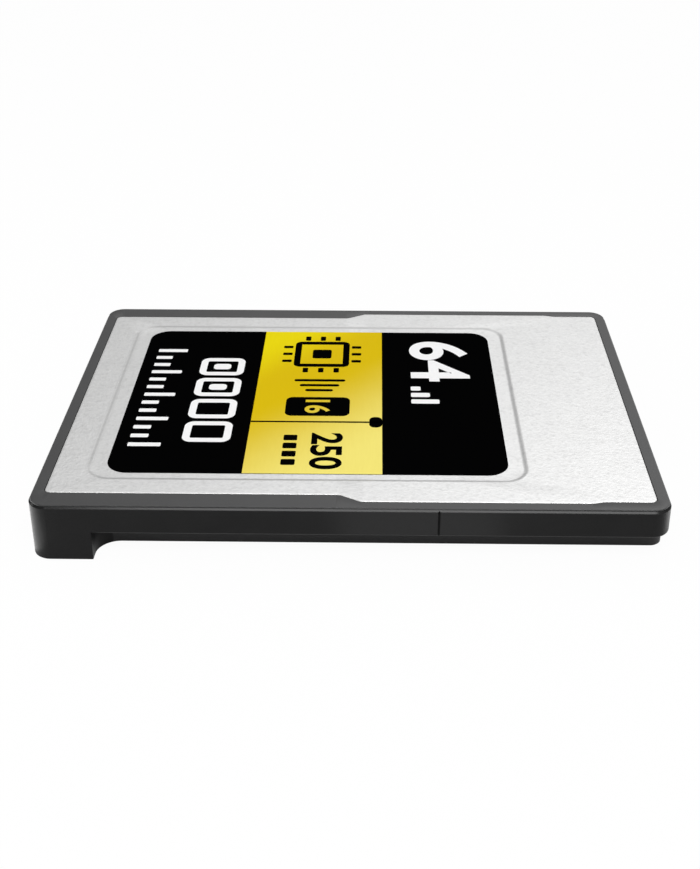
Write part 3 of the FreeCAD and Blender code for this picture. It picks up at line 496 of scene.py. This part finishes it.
def clear_film(name, colour, roughness):
    """Thin plastic film or adhesive with slow ripples."""
    made = Recipe(bpy.data.materials.new(name))
    ripples = made.grain(1.3, 2.0)
    shade = made.colour(ripples, tint(colour, 0.85), tint(colour, 1.15))
    return made.shade(shade, roughness + ripples * 0.08, made.bump(ripples, 0.02, 0.5))


def material(name, make, *values):
    """The material of this name, made on first use."""
    found = bpy.data.materials.get(name)
    return found or make(name, *values)


# Settings

def length(name, text, value):
    """A length in millimetres."""
    return FloatProperty(name=name, description=text + ", in millimetres", default=value, min=0.0,
                         precision=3)


def shade_of(name, text, value):
    """A colour."""
    return FloatVectorProperty(name=name, description=text, subtype="COLOR", size=3, min=0.0,
                               max=1.0, default=value)


def share(name, text, value, high=1.0):
    """A number from nought to one."""
    return FloatProperty(name=name, description=text, subtype="FACTOR", default=value, min=0.0,
                         max=high)


class CARD_PG_metalwork(PropertyGroup):
    """Sizes of the pressed top cover and of the bezel round it."""

    narrow_margin: length("Narrow margin", "bezel beside the grip half of the cover", 1.1)
    nose_margin: length("Nose margin", "bezel beside the insertion end of the cover", 0.71)
    shoulder_start: FloatProperty(name="Shoulder start", description="Place along the card "
                                  "where the cover starts to widen", default=-0.45)
    shoulder_end: FloatProperty(name="Shoulder end", description="Place where it is wide",
                                default=0.48)
    step_start: FloatProperty(name="Step start", description="Place of the small nose step",
                              default=10.65)
    step_end: FloatProperty(name="Step end", description="Where that step ends", default=11.1)
    corner: length("Corner", "plan radius of the cover's corners", 0.28)
    sheet: length("Sheet", "thickness of the metal", 0.14)
    sheared_edge: length("Sheared edge", "rounding along the rim of the cover", 0.035)
    recess_end_margin: length("Recess end margin", "recess past the label, at both ends", 0.9)
    recess_side_margin: length("Recess side margin", "recess past the label, at both sides", 0.64)
    recess_depth: length("Recess depth", "depth of the pressed label recess", 0.055)
    recess_slope: length("Recess slope", "width of the slope round the recess", 0.26)
    # Painted shade on the recess slope, as a share of the metal's colour
    painted_recess_shade: share("Recess shade", "Shade of that slope against the metal", 0.52)
    recess_radius: length("Recess radius", "plan radius of the recess", 1.2)
    cover_gap: length("Cover gap", "gap between cover and bezel", 0.02)
    bezel_corner: length("Bezel corner", "plan radius of the bezel", 0.76)
    bezel_edge: length("Bezel edge", "rounding along the upper edge of the bezel", 0.03)
    metal: shade_of("Metal", "Colour of the blasted metal", (0.60, 0.60, 0.597))
    metal_roughness: share("Metal roughness", "Roughness of the blasted metal", 0.42)


class CARD_PG_print(PropertyGroup):
    """Fields and colours of the label."""

    film_edge: length("Film edge", "rounding of the label's rim", 0.01)
    film_radius: length("Film radius", "corner radius of the label", 1.0)
    foil_start: FloatProperty(name="Foil start", description="Left edge of the gold field",
                              default=-4.88)
    foil_end: FloatProperty(name="Foil end", description="Right edge of the gold field",
                            default=1.45)
    divider: FloatProperty(name="Divider", description="Place of the thin line across the gold "
                           "field", default=-2.57)
    ink_thickness: length("Ink thickness", "thickness of one printed layer", 0.004)
    large_number: StringProperty(name="Large number", description="Plain number in the right "
                                 "field", default="64")
    small_number: StringProperty(name="Small number", description="Plain number in the gold "
                                 "field", default="250")
    block_number: StringProperty(name="Block number", description="Plain number in the black "
                                 "block", default="16")
    black: shade_of("Black", "Colour of the black print", (0.0012, 0.0012, 0.0013))
    white: shade_of("White", "Colour of the white print", (0.95, 0.95, 0.95))
    # Painted sheen: the foil's colour is brighter at its far left and palest at its near right
    gold: shade_of("Gold", "Colour in the middle of the foil", (0.725, 0.51, 0.004))
    painted_sheen_far_gold: shade_of("Bright gold", "Colour at its far left corner", (0.86, 0.715, 0.004))
    painted_sheen_near_gold: shade_of("Pale gold", "Colour at its near right corner", (0.94, 0.82, 0.205))


class CARD_PG_finishes(PropertyGroup):
    """Colours of the mouldings and of the parts inside."""

    frame_black: shade_of("Frame", "Colour of the lower frame", (0.006, 0.006, 0.0061))
    frame_roughness: share("Frame roughness", "Roughness of the lower frame", 0.42)
    polished_rim: length("Polished rim", "height of the smooth edge of the lower frame", 0.068)
    # Painted light: a paler colour for the lower body under the rails, where they shade it
    painted_light_colour: shade_of("Dull black", "Colour of the lower body under the rails",
                         (0.034, 0.034, 0.0345))
    painted_light_start: length("Dull start", "from the grip end to the lower body", 3.4)
    painted_light_height: length("Dull height", "height of the lower body under the rails", 1.38)
    bezel_black: shade_of("Bezel", "Colour of the bezel", (0.019, 0.019, 0.0194))
    bezel_roughness: share("Bezel roughness", "Roughness of the bezel", 0.36)
    under_metal: shade_of("Under metal", "Colour of the bottom cover", (0.5, 0.5, 0.505))
    contact_gold: shade_of("Contact gold", "Colour of the contacts", (0.9, 0.62, 0.24))
    solder_mask: shade_of("Solder mask", "Colour of the circuit board", (0.008, 0.045, 0.02))
    track: shade_of("Track", "Colour of copper under the mask", (0.03, 0.13, 0.05))
    resin: shade_of("Resin", "Colour of the chips", (0.018, 0.018, 0.019))
    pad: shade_of("Pad", "Colour of the heat pads", (0.35, 0.4, 0.45))
    film: shade_of("Film", "Colour of the insulating film", (0.12, 0.08, 0.02))


class CARD_PG_studio(PropertyGroup):
    """Camera and light."""

    lens: FloatProperty(name="Lens", description="Focal length of the camera", default=53.1,
                        unit="CAMERA")
    azimuth: FloatProperty(name="Azimuth", description="Turn of the camera round the card, in "
                           "degrees", default=0.725)
    elevation: FloatProperty(name="Elevation", description="Height of the camera, in degrees",
                             default=26.404)
    roll: FloatProperty(name="Roll", description="Roll of the camera, in degrees", default=0.076)
    distance: length("Distance", "from the card to the camera", 65.25)
    across: FloatProperty(name="Across", description="Sideways place of the view's centre, in "
                          "millimetres", default=0.354)
    upward: FloatProperty(name="Upward", description="Upward place of the view's centre, in "
                          "millimetres", default=5.551)
    shift: FloatVectorProperty(name="Shift", description="Sideways and upward shift of the lens, "
                               "as shares of the picture's height", size=2,
                               default=(-0.0115, -0.1151))
    ambient: FloatProperty(name="Ambient", description="Strength of the even light", default=0.47)
    left_wall: share("Left wall", "Brightness of the left half in reflections", 0.655, 2.0)
    right_wall: share("Right wall", "Brightness of the right half in reflections", 1.26, 2.0)
    ceiling: share("Ceiling", "Brightness straight above, against the walls", 0.4)
    front_wall: share("Front wall", "Brightness behind the camera, against the other walls", 0.7)
    floor_share: share("Floor share", "How much of the floor's look is plain white", 0.96)
    mirror_share: share("Mirror share", "The same in reflections", 0.45)


# Cover and bezel

def cover_plan(work, gap=0.0):
    """Half plan of the top cover as stations along the card and half widths, grown by a gap."""
    end = COVER_HIGH[0] + gap
    narrow = CARD_HIGH[1] - work.narrow_margin + gap
    wide = COVER_HIGH[1] + gap
    nose = CARD_HIGH[1] - work.nose_margin + gap
    return [(-end, narrow), (work.shoulder_start, narrow), (work.shoulder_end, wide),
            (work.step_start, wide), (work.step_end, nose), (end, nose)]


def both_sides(stations):
    """Counter-clockwise corners from stations of half widths."""
    return [(x, -y) for x, y in stations] + [(x, y) for x, y in stations[::-1]]


def six_corners(stations, half_width):
    """Rectangle whose long sides carry six stations each, to match the cover's outline."""
    return both_sides([(x, half_width) for x in stations])


def six_reaches(end, inner):
    """Tangent lengths for six stations and their mirror: the end corners differ from the rest."""
    half = [end] + [inner] * 4 + [end]
    return half + half


class CARD_OT_cover(Operator):
    """Press the top cover: stepped outline, sheared rim, shallow recess for the label"""

    bl_idname = "card.cover"
    bl_label = "Top cover"

    def execute(self, context):
        work = context.scene.card_metalwork
        outline = rounded_outline(both_sides(cover_plan(work)),
                                  six_reaches(work.corner, SHOULDER_REACH))
        recess_start = LABEL_LOW[0] - work.recess_end_margin
        recess_end = LABEL_HIGH[0] + work.recess_end_margin
        recess_half = LABEL_HIGH[1] + work.recess_side_margin
        stations = (recess_start, work.shoulder_start, work.shoulder_end,
                    recess_end - NOSE_STATIONS[0], recess_end - NOSE_STATIONS[1], recess_end)
        recess = rounded_outline(six_corners(stations, recess_half),
                                 six_reaches(work.recess_radius, SHOULDER_REACH))
        steps = np.linspace(0, 1, 9)
        # Slope of the recess: height falls as 3 s^2 - 2 s^3 while the ring moves inwards
        fall = work.recess_depth * (3 * steps ** 2 - 2 * steps ** 3)
        inward = -work.recess_slope * steps
        top = np.stack([inward, PLATE_LEVEL - fall], 1)
        floor = np.array([[-work.recess_slope - FLOOR_LAP, PLATE_LEVEL - work.recess_depth]])
        under = np.vstack([top, floor])[::-1] - (0, work.sheet)
        edge = work.sheared_edge
        rim = np.vstack([[(-UNDER_LAP, PLATE_LEVEL - work.sheet)],
                         quarter((-edge, PLATE_LEVEL - work.sheet + edge), edge, -90, 0),
                         quarter((-edge, PLATE_LEVEL - edge), edge, 0, 90),
                         [(-UPPER_LAP, PLATE_LEVEL)]])
        rings = [carry(recess, under), carry(outline, rim), carry(recess, np.vstack([top, floor]))]
        skin = Skin()
        skin.loft(np.vstack(rings))
        # The last two entries paint shade into the colour of the recess slope
        pressed = ((recess_start, -recess_half), (recess_end, recess_half), work.recess_radius,
                   work.recess_slope, work.painted_recess_shade)
        metal = material("blasted_steel", blasted_metal, work.metal, work.metal_roughness, pressed)
        skin.finish("pressed_cover", metal, 40.0, "cover_metal", ("top_cover",))
        return {"FINISHED"}


class CARD_OT_bezel(Operator):
    """Mould the bezel that frames the cover"""

    bl_idname = "card.bezel"
    bl_label = "Bezel"

    def execute(self, context):
        work = context.scene.card_metalwork
        black = context.scene.card_finishes
        inner = rounded_outline(both_sides(cover_plan(work, work.cover_gap)),
                                six_reaches(work.corner + work.cover_gap, SHOULDER_REACH))
        stations = [x for x, _ in cover_plan(work)]
        stations[0], stations[-1] = BEZEL_LOW[0], BEZEL_HIGH[0]
        outer = rounded_outline(both_sides([(x, BEZEL_HIGH[1]) for x in stations]),
                                six_reaches(work.bezel_corner, SHOULDER_REACH))
        edge, soft, low = work.bezel_edge, BEZEL_SOFT, RIM_LEVEL
        outside = np.vstack([[(-BEZEL_LAP, low)], quarter((-soft, low + soft), soft, -90, 0, 2),
                             quarter((-edge, PLATE_LEVEL - edge), edge, 0, 90)])
        inside = np.vstack([quarter((soft, PLATE_LEVEL - soft), soft, 90, 180, 2), [(0, low)]])
        skin = Skin()
        skin.loft(np.vstack([carry(outer, outside), carry(inner, inside)]), tube=True)
        plastic = material("bezel_moulding", moulded_plastic, black.bezel_black,
                           black.bezel_roughness, 0.5)
        skin.finish("bezel", plastic, 40.0, "bezel_plastic", ("upper_frame",))
        return {"FINISHED"}


# Label

def number_skin(skin, text, low, high, bottom, thickness, weight=0.02):
    """Plain figures as a solid, fitted into the rectangle low...high of the label.

    The figures read across the card: their height runs along +X and they follow each other
    towards -Y. The mesh of the text (u, v) is moved to X = v, Y = -u and stretched to the
    rectangle.
    """
    curve = bpy.data.curves.new("figures", "FONT")
    curve.body = text
    curve.offset = weight
    curve.extrude = 0.5
    curve.resolution_u = 8
    holder = bpy.data.objects.new("figures", curve)
    bpy.context.scene.collection.objects.link(holder)
    bpy.context.view_layer.update()
    mesh = bpy.data.meshes.new_from_object(holder)
    points = np.empty(len(mesh.vertices) * 3)
    mesh.vertices.foreach_get("co", points)
    points = points.reshape(-1, 3)
    points = (points - points.min(0)) / np.ptp(points, axis=0)
    place = np.stack([
        low[0] + points[:, 1] * (high[0] - low[0]),
        high[1] - points[:, 0] * (high[1] - low[1]),
        bottom + points[:, 2] * thickness,
    ], 1)
    skin.faces += [[skin.count + i for i in face.vertices] for face in mesh.polygons]
    skin.add_points(place)
    bpy.data.objects.remove(holder)
    bpy.data.curves.remove(curve)
    bpy.data.meshes.remove(mesh)


class CARD_OT_label(Operator):
    """Print the label: black film, gold foil field, plain figures and simple shapes"""

    bl_idname = "card.label"
    bl_label = "Label"

    def execute(self, context):
        art = context.scene.card_print
        layer = art.ink_thickness
        film_top = LABEL_HIGH[2] - 3 * layer
        foil_top = film_top + layer
        mark_top = foil_top + layer
        black = material("black_film", ink, art.black, 0.42, 0.0)
        white = material("white_ink", ink, art.white, 0.5, 0.3)
        dark = material("black_ink", ink, art.black, 0.5, 0.0)
        gold = material("gold_foil", foil_print, art.gold, art.painted_sheen_far_gold, art.painted_sheen_near_gold,
                        0.36)

        film = Skin()
        seat = PLATE_LEVEL - context.scene.card_metalwork.recess_depth
        film.slab(rectangle(LABEL_LOW, LABEL_HIGH, art.film_radius), seat, film_top, art.film_edge)
        film.finish("label_film", black, 40.0, "label_film", ("label",))

        rim = art.film_edge + 0.005
        foil = Skin()
        field = rectangle((art.foil_start, LABEL_LOW[1] + rim),
                          (art.foil_end, LABEL_HIGH[1] - rim), 0.02, 3)
        foil.slab(field, film_top - layer, foil_top)
        number_skin(foil, art.block_number, *BLOCK_NUMBER_BOX, foil_top, 2 * layer)
        foil.finish("label_foil", gold, slot="label_film")

        # White print on the black fields
        pale = Skin()
        ink_low = film_top - layer
        number_skin(pale, art.large_number, *LARGE_NUMBER_BOX, ink_low, 2 * layer)
        for step, height in enumerate(SIGNAL_HEIGHTS):
            y = SIGNAL_TOP - SIGNAL_PITCH * step
            bar = rectangle((SIGNAL_FOOT, y), (SIGNAL_FOOT + height, y + SIGNAL_WIDTH), 0.08, 4)
            pale.slab(bar, ink_low, foil_top)
        for step in range(RING_COUNT):
            y = RING_TOP - RING_PITCH * step
            outer = rectangle((RING_START, y - RING_WIDTH), (RING_END, y), RING_RADIUS)
            pale.band(outer, RING_WALL, ink_low, foil_top)
            if step < DOTTED_RINGS:
                dot = rectangle((DOT_START, y - DOT_LOW), (DOT_END, y - DOT_HIGH), 0.2, 5)
                pale.slab(dot, ink_low, foil_top)
        for step in range(RULE_COUNT):
            y = RULE_TOP - RULE_PITCH * step
            long = LONG_RULE if step % 3 == 0 else SHORT_RULE
            rule = rectangle((RULE_FOOT, y - RULE_WIDTH), (RULE_FOOT + long, y), 0.06, 4)
            pale.slab(rule, ink_low, foil_top)
        pale.finish("label_white_print", white, slot="label_film")

        # Black print on the gold field: a chip with three legs at each side
        marks = Skin()
        middle = np.array(CHIP_MIDDLE)
        marks.band(rectangle(middle - CHIP_HALF, middle + CHIP_HALF, CHIP_RADIUS), CHIP_WALL,
                   foil_top, mark_top)
        marks.slab(rectangle(middle - CORE_HALF, middle + CORE_HALF, 0.12, 4), foil_top, mark_top)
        for step in LEG_PLACES:
            for side in (-1, 1):
                a = side * (CHIP_HALF + LEG_START)
                b = side * (CHIP_HALF + LEG_END)
                leg = np.array([(min(a, b), step - LEG_HALF), (max(a, b), step + LEG_HALF)])
                for box in (leg, leg[:, ::-1]):
                    marks.slab(rectangle(box[0] + middle, box[1] + middle, 0.05, 3),
                               foil_top, mark_top)
        # Stripes, block, number, squares, and the divider with its tab
        for step, long in enumerate(STRIPE_LENGTHS):
            y = STRIPE_TOP - STRIPE_PITCH * step
            stripe = rectangle((CHIP_MIDDLE[0] - long / 2, y),
                               (CHIP_MIDDLE[0] + long / 2, y + STRIPE_WIDTH), 0.11, 5)
            marks.slab(stripe, foil_top, mark_top)
        marks.slab(rectangle(*BLOCK_BOX, 0.35), foil_top, mark_top)
        number_skin(marks, art.small_number, *SMALL_NUMBER_BOX, foil_top, layer, 0.025)
        for step in range(SQUARE_COUNT):
            y = SQUARE_TOP - SQUARE_PITCH * step
            square = rectangle((SQUARE_START, y - SQUARE_WIDTH), (SQUARE_END, y), 0.08, 4)
            marks.slab(square, foil_top, mark_top)
        line = rectangle((art.foil_start, art.divider - DIVIDER_HALF),
                         (art.foil_end, art.divider + DIVIDER_HALF), 0.02, 3)
        marks.slab(line, foil_top, mark_top)
        tab = rectangle((art.foil_end - TAB_LENGTH, art.divider - TAB_HALF),
                        (art.foil_end, art.divider + TAB_HALF), TAB_RADIUS)
        marks.slab(tab, foil_top, mark_top)
        marks.finish("label_black_print", dark, slot="label_film")
        return {"FINISHED"}


# Underside

def contact_pads(skin, node):
    """A row of plated pads: rounded oblongs whose lower face is rounded at the rim."""
    low, high = node_box(node)
    half = PAD_WIDTH / 2
    for centre in np.linspace(low[1] + half, high[1] - half, PAD_COUNT):
        outline = rectangle((low[0], centre - half), (high[0], centre + half), 0.12, 5)
        lower = quarter((-0.02, low[2] + 0.02), 0.02, -90, 0, 3)
        skin.loft(carry(outline, np.vstack([lower, [(0, high[2])]])))


class CARD_OT_underside(Operator):
    """Make the bottom cover and the plated contacts"""

    bl_idname = "card.underside"
    bl_label = "Underside"

    def execute(self, context):
        tones = context.scene.card_finishes
        low, high = node_box("bottom_cover")
        plate = rectangle(low, high, 0.5)
        edge = 0.03
        lower = quarter((-edge, low[2] + edge), edge, -90, 0)
        upper = quarter((-edge, high[2] - edge), edge, 0, 90)
        skin = Skin()
        skin.loft(carry(plate, np.vstack([[(-0.4, low[2])], lower, upper])))
        metal = material("under_steel", blasted_metal, tones.under_metal, 0.44)
        skin.finish("under_cover", metal, 40.0, "bottom_metal", ("bottom_cover",))
        gold = material("hard_gold", gold_plating, tones.contact_gold)
        for node, name in (("front_contacts", "front_pads"), ("rear_contacts", "rear_pads")):
            pads = Skin()
            contact_pads(pads, node)
            pads.finish(name, gold, 40.0, "contact_gold", (node,))
        return {"FINISHED"}


# Kept nodes

class CARD_OT_mouldings(Operator):
    """Give the lower frame and every part inside its own finish"""

    bl_idname = "card.mouldings"
    bl_label = "Frame and parts inside"

    def execute(self, context):
        tones = context.scene.card_finishes
        # Painted light on the lower body under the rails
        dull = (CARD_LOW[0] + tones.painted_light_start, tones.painted_light_height, tones.painted_light_colour)
        frame_plastic = material("frame_moulding", moulded_plastic, tones.frame_black,
                                 tones.frame_roughness, 0.15, RIM_LEVEL - tones.polished_rim,
                                 dull)
        resin = material("chip_resin", package_resin, tones.resin, 0.5)
        pad = material("silicone_pad", soft_pad, tones.pad)
        tan = (0.3, 0.2, 0.12)
        dark = (0.03, 0.03, 0.03)
        tin = (0.55, 0.54, 0.52)
        capacitor = material("tan_ceramic", fired_ceramic, tan, tin, 0.4)
        resistor = material("dark_ceramic", fired_ceramic, dark, tin, 0.4)
        dressed = {
            "lower_frame": frame_plastic,
            "circuit_board": material("laminate", circuit_laminate, tones.solder_mask,
                                      tones.track),
            "bottom_cover_adhesive": material("adhesive", clear_film, (0.05, 0.05, 0.05), 0.6),
            "insulating_film": material("amber_film", clear_film, tones.film, 0.2),
            "flash_package": resin, "controller_chip": resin, "power_chip": resin,
            "startup_memory": resin, "voltage_regulator": resin,
            "flash_heat_pad": pad, "controller_heat_pad": pad,
            "crystal_can": material("crystal_lid", blasted_metal, (0.6, 0.58, 0.5), 0.3),
            "power_inductors": resistor, "resistors": resistor, "surge_protection": resistor,
            "bulk_capacitors": capacitor, "coupling_capacitors": capacitor,
            "decoupling_capacitors": capacitor,
        }
        for name, finish in dressed.items():
            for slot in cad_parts[name].material_slots:
                slot.material = finish
        return {"FINISHED"}


# Stage

def floor_material(camera_share, glossy_share):
    """Pale floor that keeps the card's shadow; camera and reflections also see plain white."""
    made = Recipe(bpy.data.materials.new("studio_floor"))
    seen = made.ray("Camera") + made.ray("Transmission")
    white_share = seen * camera_share + made.ray("Glossy") * glossy_share
    paper = made.node("ShaderNodeBsdfDiffuse", {}, {"Color": (0.95, 0.95, 0.95, 1.0)})
    white = made.node("ShaderNodeEmission", {}, {"Color": (1.0, 1.0, 1.0, 1.0), "Strength": 1.0})
    mixed = made.node("ShaderNodeMixShader", {}, {0: white_share, 1: paper, 2: white})
    made.node("ShaderNodeOutputMaterial", {}, {"Surface": mixed})
    return made.owner


# Parts of a unit direction between which the walls change, and by how much
WALL_SEAM = -0.32, 0.1  # along X, from the left wall to the right one
WALL_RISE = 0.36, 0.75  # up, from the plain to the bright part of the walls
WALL_PLAIN, WALL_GAIN = 0.56, 1.25
WALL_FOOT = 0.08, 0.44  # up, over the foot of the walls
FOOT_SHADE = 0.25
CEILING_EDGE = 0.84, 0.98  # up, from the walls to the ceiling
FRONT_EDGE = -0.2, 0.5  # along Y, from the wall behind the camera to the others


def studio_world(studio):
    """Walls and ceiling as a background.

    The camera sees plain white and diffuse light is even. Reflections see walls that are
    brighter to the right of the card and brighten with height, under a darker ceiling, and
    that are darker behind the camera.
    """
    made = Recipe(bpy.data.worlds.new("studio"), "Generated", 1.0)
    height = made.axis("Z")
    right = made.axis("X").clamp(*WALL_SEAM)
    walls = studio.left_wall + right * (studio.right_wall - studio.left_wall)
    walls = walls * (WALL_PLAIN + height.clamp(*WALL_RISE) * WALL_GAIN)
    walls = walls * (1 - FOOT_SHADE + height.clamp(*WALL_FOOT) * FOOT_SHADE)
    dark = height.clamp(*CEILING_EDGE) * (1 - studio.ceiling)
    walls = walls * (1.0 - dark)
    behind_camera = 1.0 - made.axis("Y").clamp(*FRONT_EDGE)
    walls = walls * (1.0 - behind_camera * (1 - studio.front_wall))
    seen = made.ray("Camera") + made.ray("Transmission")
    plain = studio.ambient + seen * (1 - studio.ambient)
    strength = plain + made.ray("Glossy") * (walls - studio.ambient)
    back = made.node("ShaderNodeBackground", {}, {"Color": (1.0, 1.0, 1.0, 1.0),
                                                  "Strength": strength})
    made.node("ShaderNodeOutputWorld", {}, {"Surface": back})
    return made.owner


# Name, place and size in millimetres, and power of each lamp
LAMPS = (("back_right", (103, 132, 186), (140, 140), 0.035),
         ("front_top", (20, -140, 205), (170, 60), 0.33),
         ("left_low", (-130, -20, 30), (120, 60), 0.05))
# Panels that lie on the floor and show in the corners and the side of the lower frame
PANELS = (("left_panel", (-16.35, -7.85), (4.5, 7.5), 0.00024),
          ("right_panel", (17.7, -7.0), (3.6, 6.0), 0.00011),
          ("front_panel", (3.2, -13.6), (7.5, 4.5), 0.00013))
PANEL_LIFT = 0.05  # height of the panels above the floor
ABOVE = 9.0  # height of the points that they face


def add_lamp(name, place, size, energy, aim=(0.0, 0.0, 0.0)):
    """Rectangular soft light at a place in millimetres, aimed at a point."""
    lamp = bpy.data.lights.new(name, "AREA")
    lamp.shape = "RECTANGLE"
    lamp.size, lamp.size_y = size[0] * MM, size[1] * MM
    lamp.energy = energy
    holder = bpy.data.objects.new(name, lamp)
    place, aim = Vector(place) * MM, Vector(aim) * MM
    turn = (place - aim).to_track_quat("Z", "Y").to_matrix().to_4x4()
    holder.matrix_world = Matrix.Translation(place) @ turn
    holder.visible_camera = False
    bpy.context.scene.collection.objects.link(holder)


class CARD_OT_stage(Operator):
    """Set up the floor, the soft light and the camera"""

    bl_idname = "card.stage"
    bl_label = "Stage"

    def execute(self, context):
        studio = context.scene.card_studio
        reach = 2.0
        grid = np.linspace(-reach, reach, 3)
        x, y = np.meshgrid(grid, grid)
        points = np.stack([x, y, np.full_like(x, frame_bounds[0][2])], 2).reshape(-1, 3)
        index = np.arange(9).reshape(3, 3)
        quads = np.stack([index[:-1, :-1], index[:-1, 1:], index[1:, 1:], index[1:, :-1]], 2)
        mesh = bpy.data.meshes.new("floor")
        mesh.from_pydata(points, [], quads.reshape(-1, 4).tolist())
        mesh.materials.append(floor_material(studio.floor_share, studio.mirror_share))
        floor = bpy.data.objects.new("floor", mesh)
        context.scene.collection.objects.link(floor)

        context.scene.world = studio_world(studio)
        for lamp in LAMPS:
            add_lamp(*lamp)
        level = frame_bounds[0][2] / MM + PANEL_LIFT
        for name, place, size, energy in PANELS:
            add_lamp(name, (*place, level), size, energy, (*place, ABOVE))

        side, lift, tip = np.radians((studio.azimuth, studio.elevation, studio.roll))
        back_axis = np.array([np.sin(side) * np.cos(lift), -np.cos(side) * np.cos(lift),
                              np.sin(lift)])
        right = np.array([np.cos(side), np.sin(side), 0.0])
        up = np.cross(back_axis, right)
        rolled = np.cos(tip) * right + np.sin(tip) * up
        top = -np.sin(tip) * right + np.cos(tip) * up
        place = studio.across * rolled + studio.upward * top + studio.distance * back_axis
        lens = bpy.data.cameras.new("camera")
        lens.lens = studio.lens
        lens.sensor_width = 36.0
        lens.shift_x, lens.shift_y = studio.shift
        lens.clip_start = 0.001
        lens.clip_end = 50.0
        camera = bpy.data.objects.new("camera", lens)
        turn = Matrix(np.stack([rolled, top, back_axis], 1).tolist()).to_4x4()
        camera.matrix_world = Matrix.Translation(Vector(place) * MM) @ turn
        context.scene.collection.objects.link(camera)
        context.scene.camera = camera
        context.scene.view_settings.view_transform = "Standard"
        return {"FINISHED"}


class CARD_PT_panel(Panel):
    """Lists the pieces of the memory card"""

    bl_label = "Memory card"
    bl_idname = "CARD_PT_panel"
    bl_space_type = "VIEW_3D"
    bl_region_type = "UI"
    bl_category = "Memory card"

    def draw(self, context):
        for piece in PIECES:
            self.layout.operator(piece.bl_idname)
        for name in SETTINGS:
            box = self.layout.box()
            settings = getattr(context.scene, name)
            for key in settings.bl_rna.properties.keys():
                if key not in ("name", "rna_type"):
                    box.prop(settings, key)


PIECES = (CARD_OT_cover, CARD_OT_bezel, CARD_OT_label, CARD_OT_underside, CARD_OT_mouldings,
          CARD_OT_stage)
SETTINGS = {"card_metalwork": CARD_PG_metalwork, "card_print": CARD_PG_print,
            "card_finishes": CARD_PG_finishes, "card_studio": CARD_PG_studio}


def register():
    for kind in (*SETTINGS.values(), *PIECES, CARD_PT_panel):
        bpy.utils.register_class(kind)
    for name, kind in SETTINGS.items():
        setattr(bpy.types.Scene, name, PointerProperty(type=kind))


def unregister():
    for name in SETTINGS:
        delattr(bpy.types.Scene, name)
    for kind in (CARD_PT_panel, *PIECES[::-1], *SETTINGS.values()):
        bpy.utils.unregister_class(kind)


def main():
    register()
    for operator in (bpy.ops.card.cover, bpy.ops.card.bezel, bpy.ops.card.label,
                     bpy.ops.card.underside, bpy.ops.card.mouldings, bpy.ops.card.stage):
        operator()


if __name__ == "__main__":
    main()
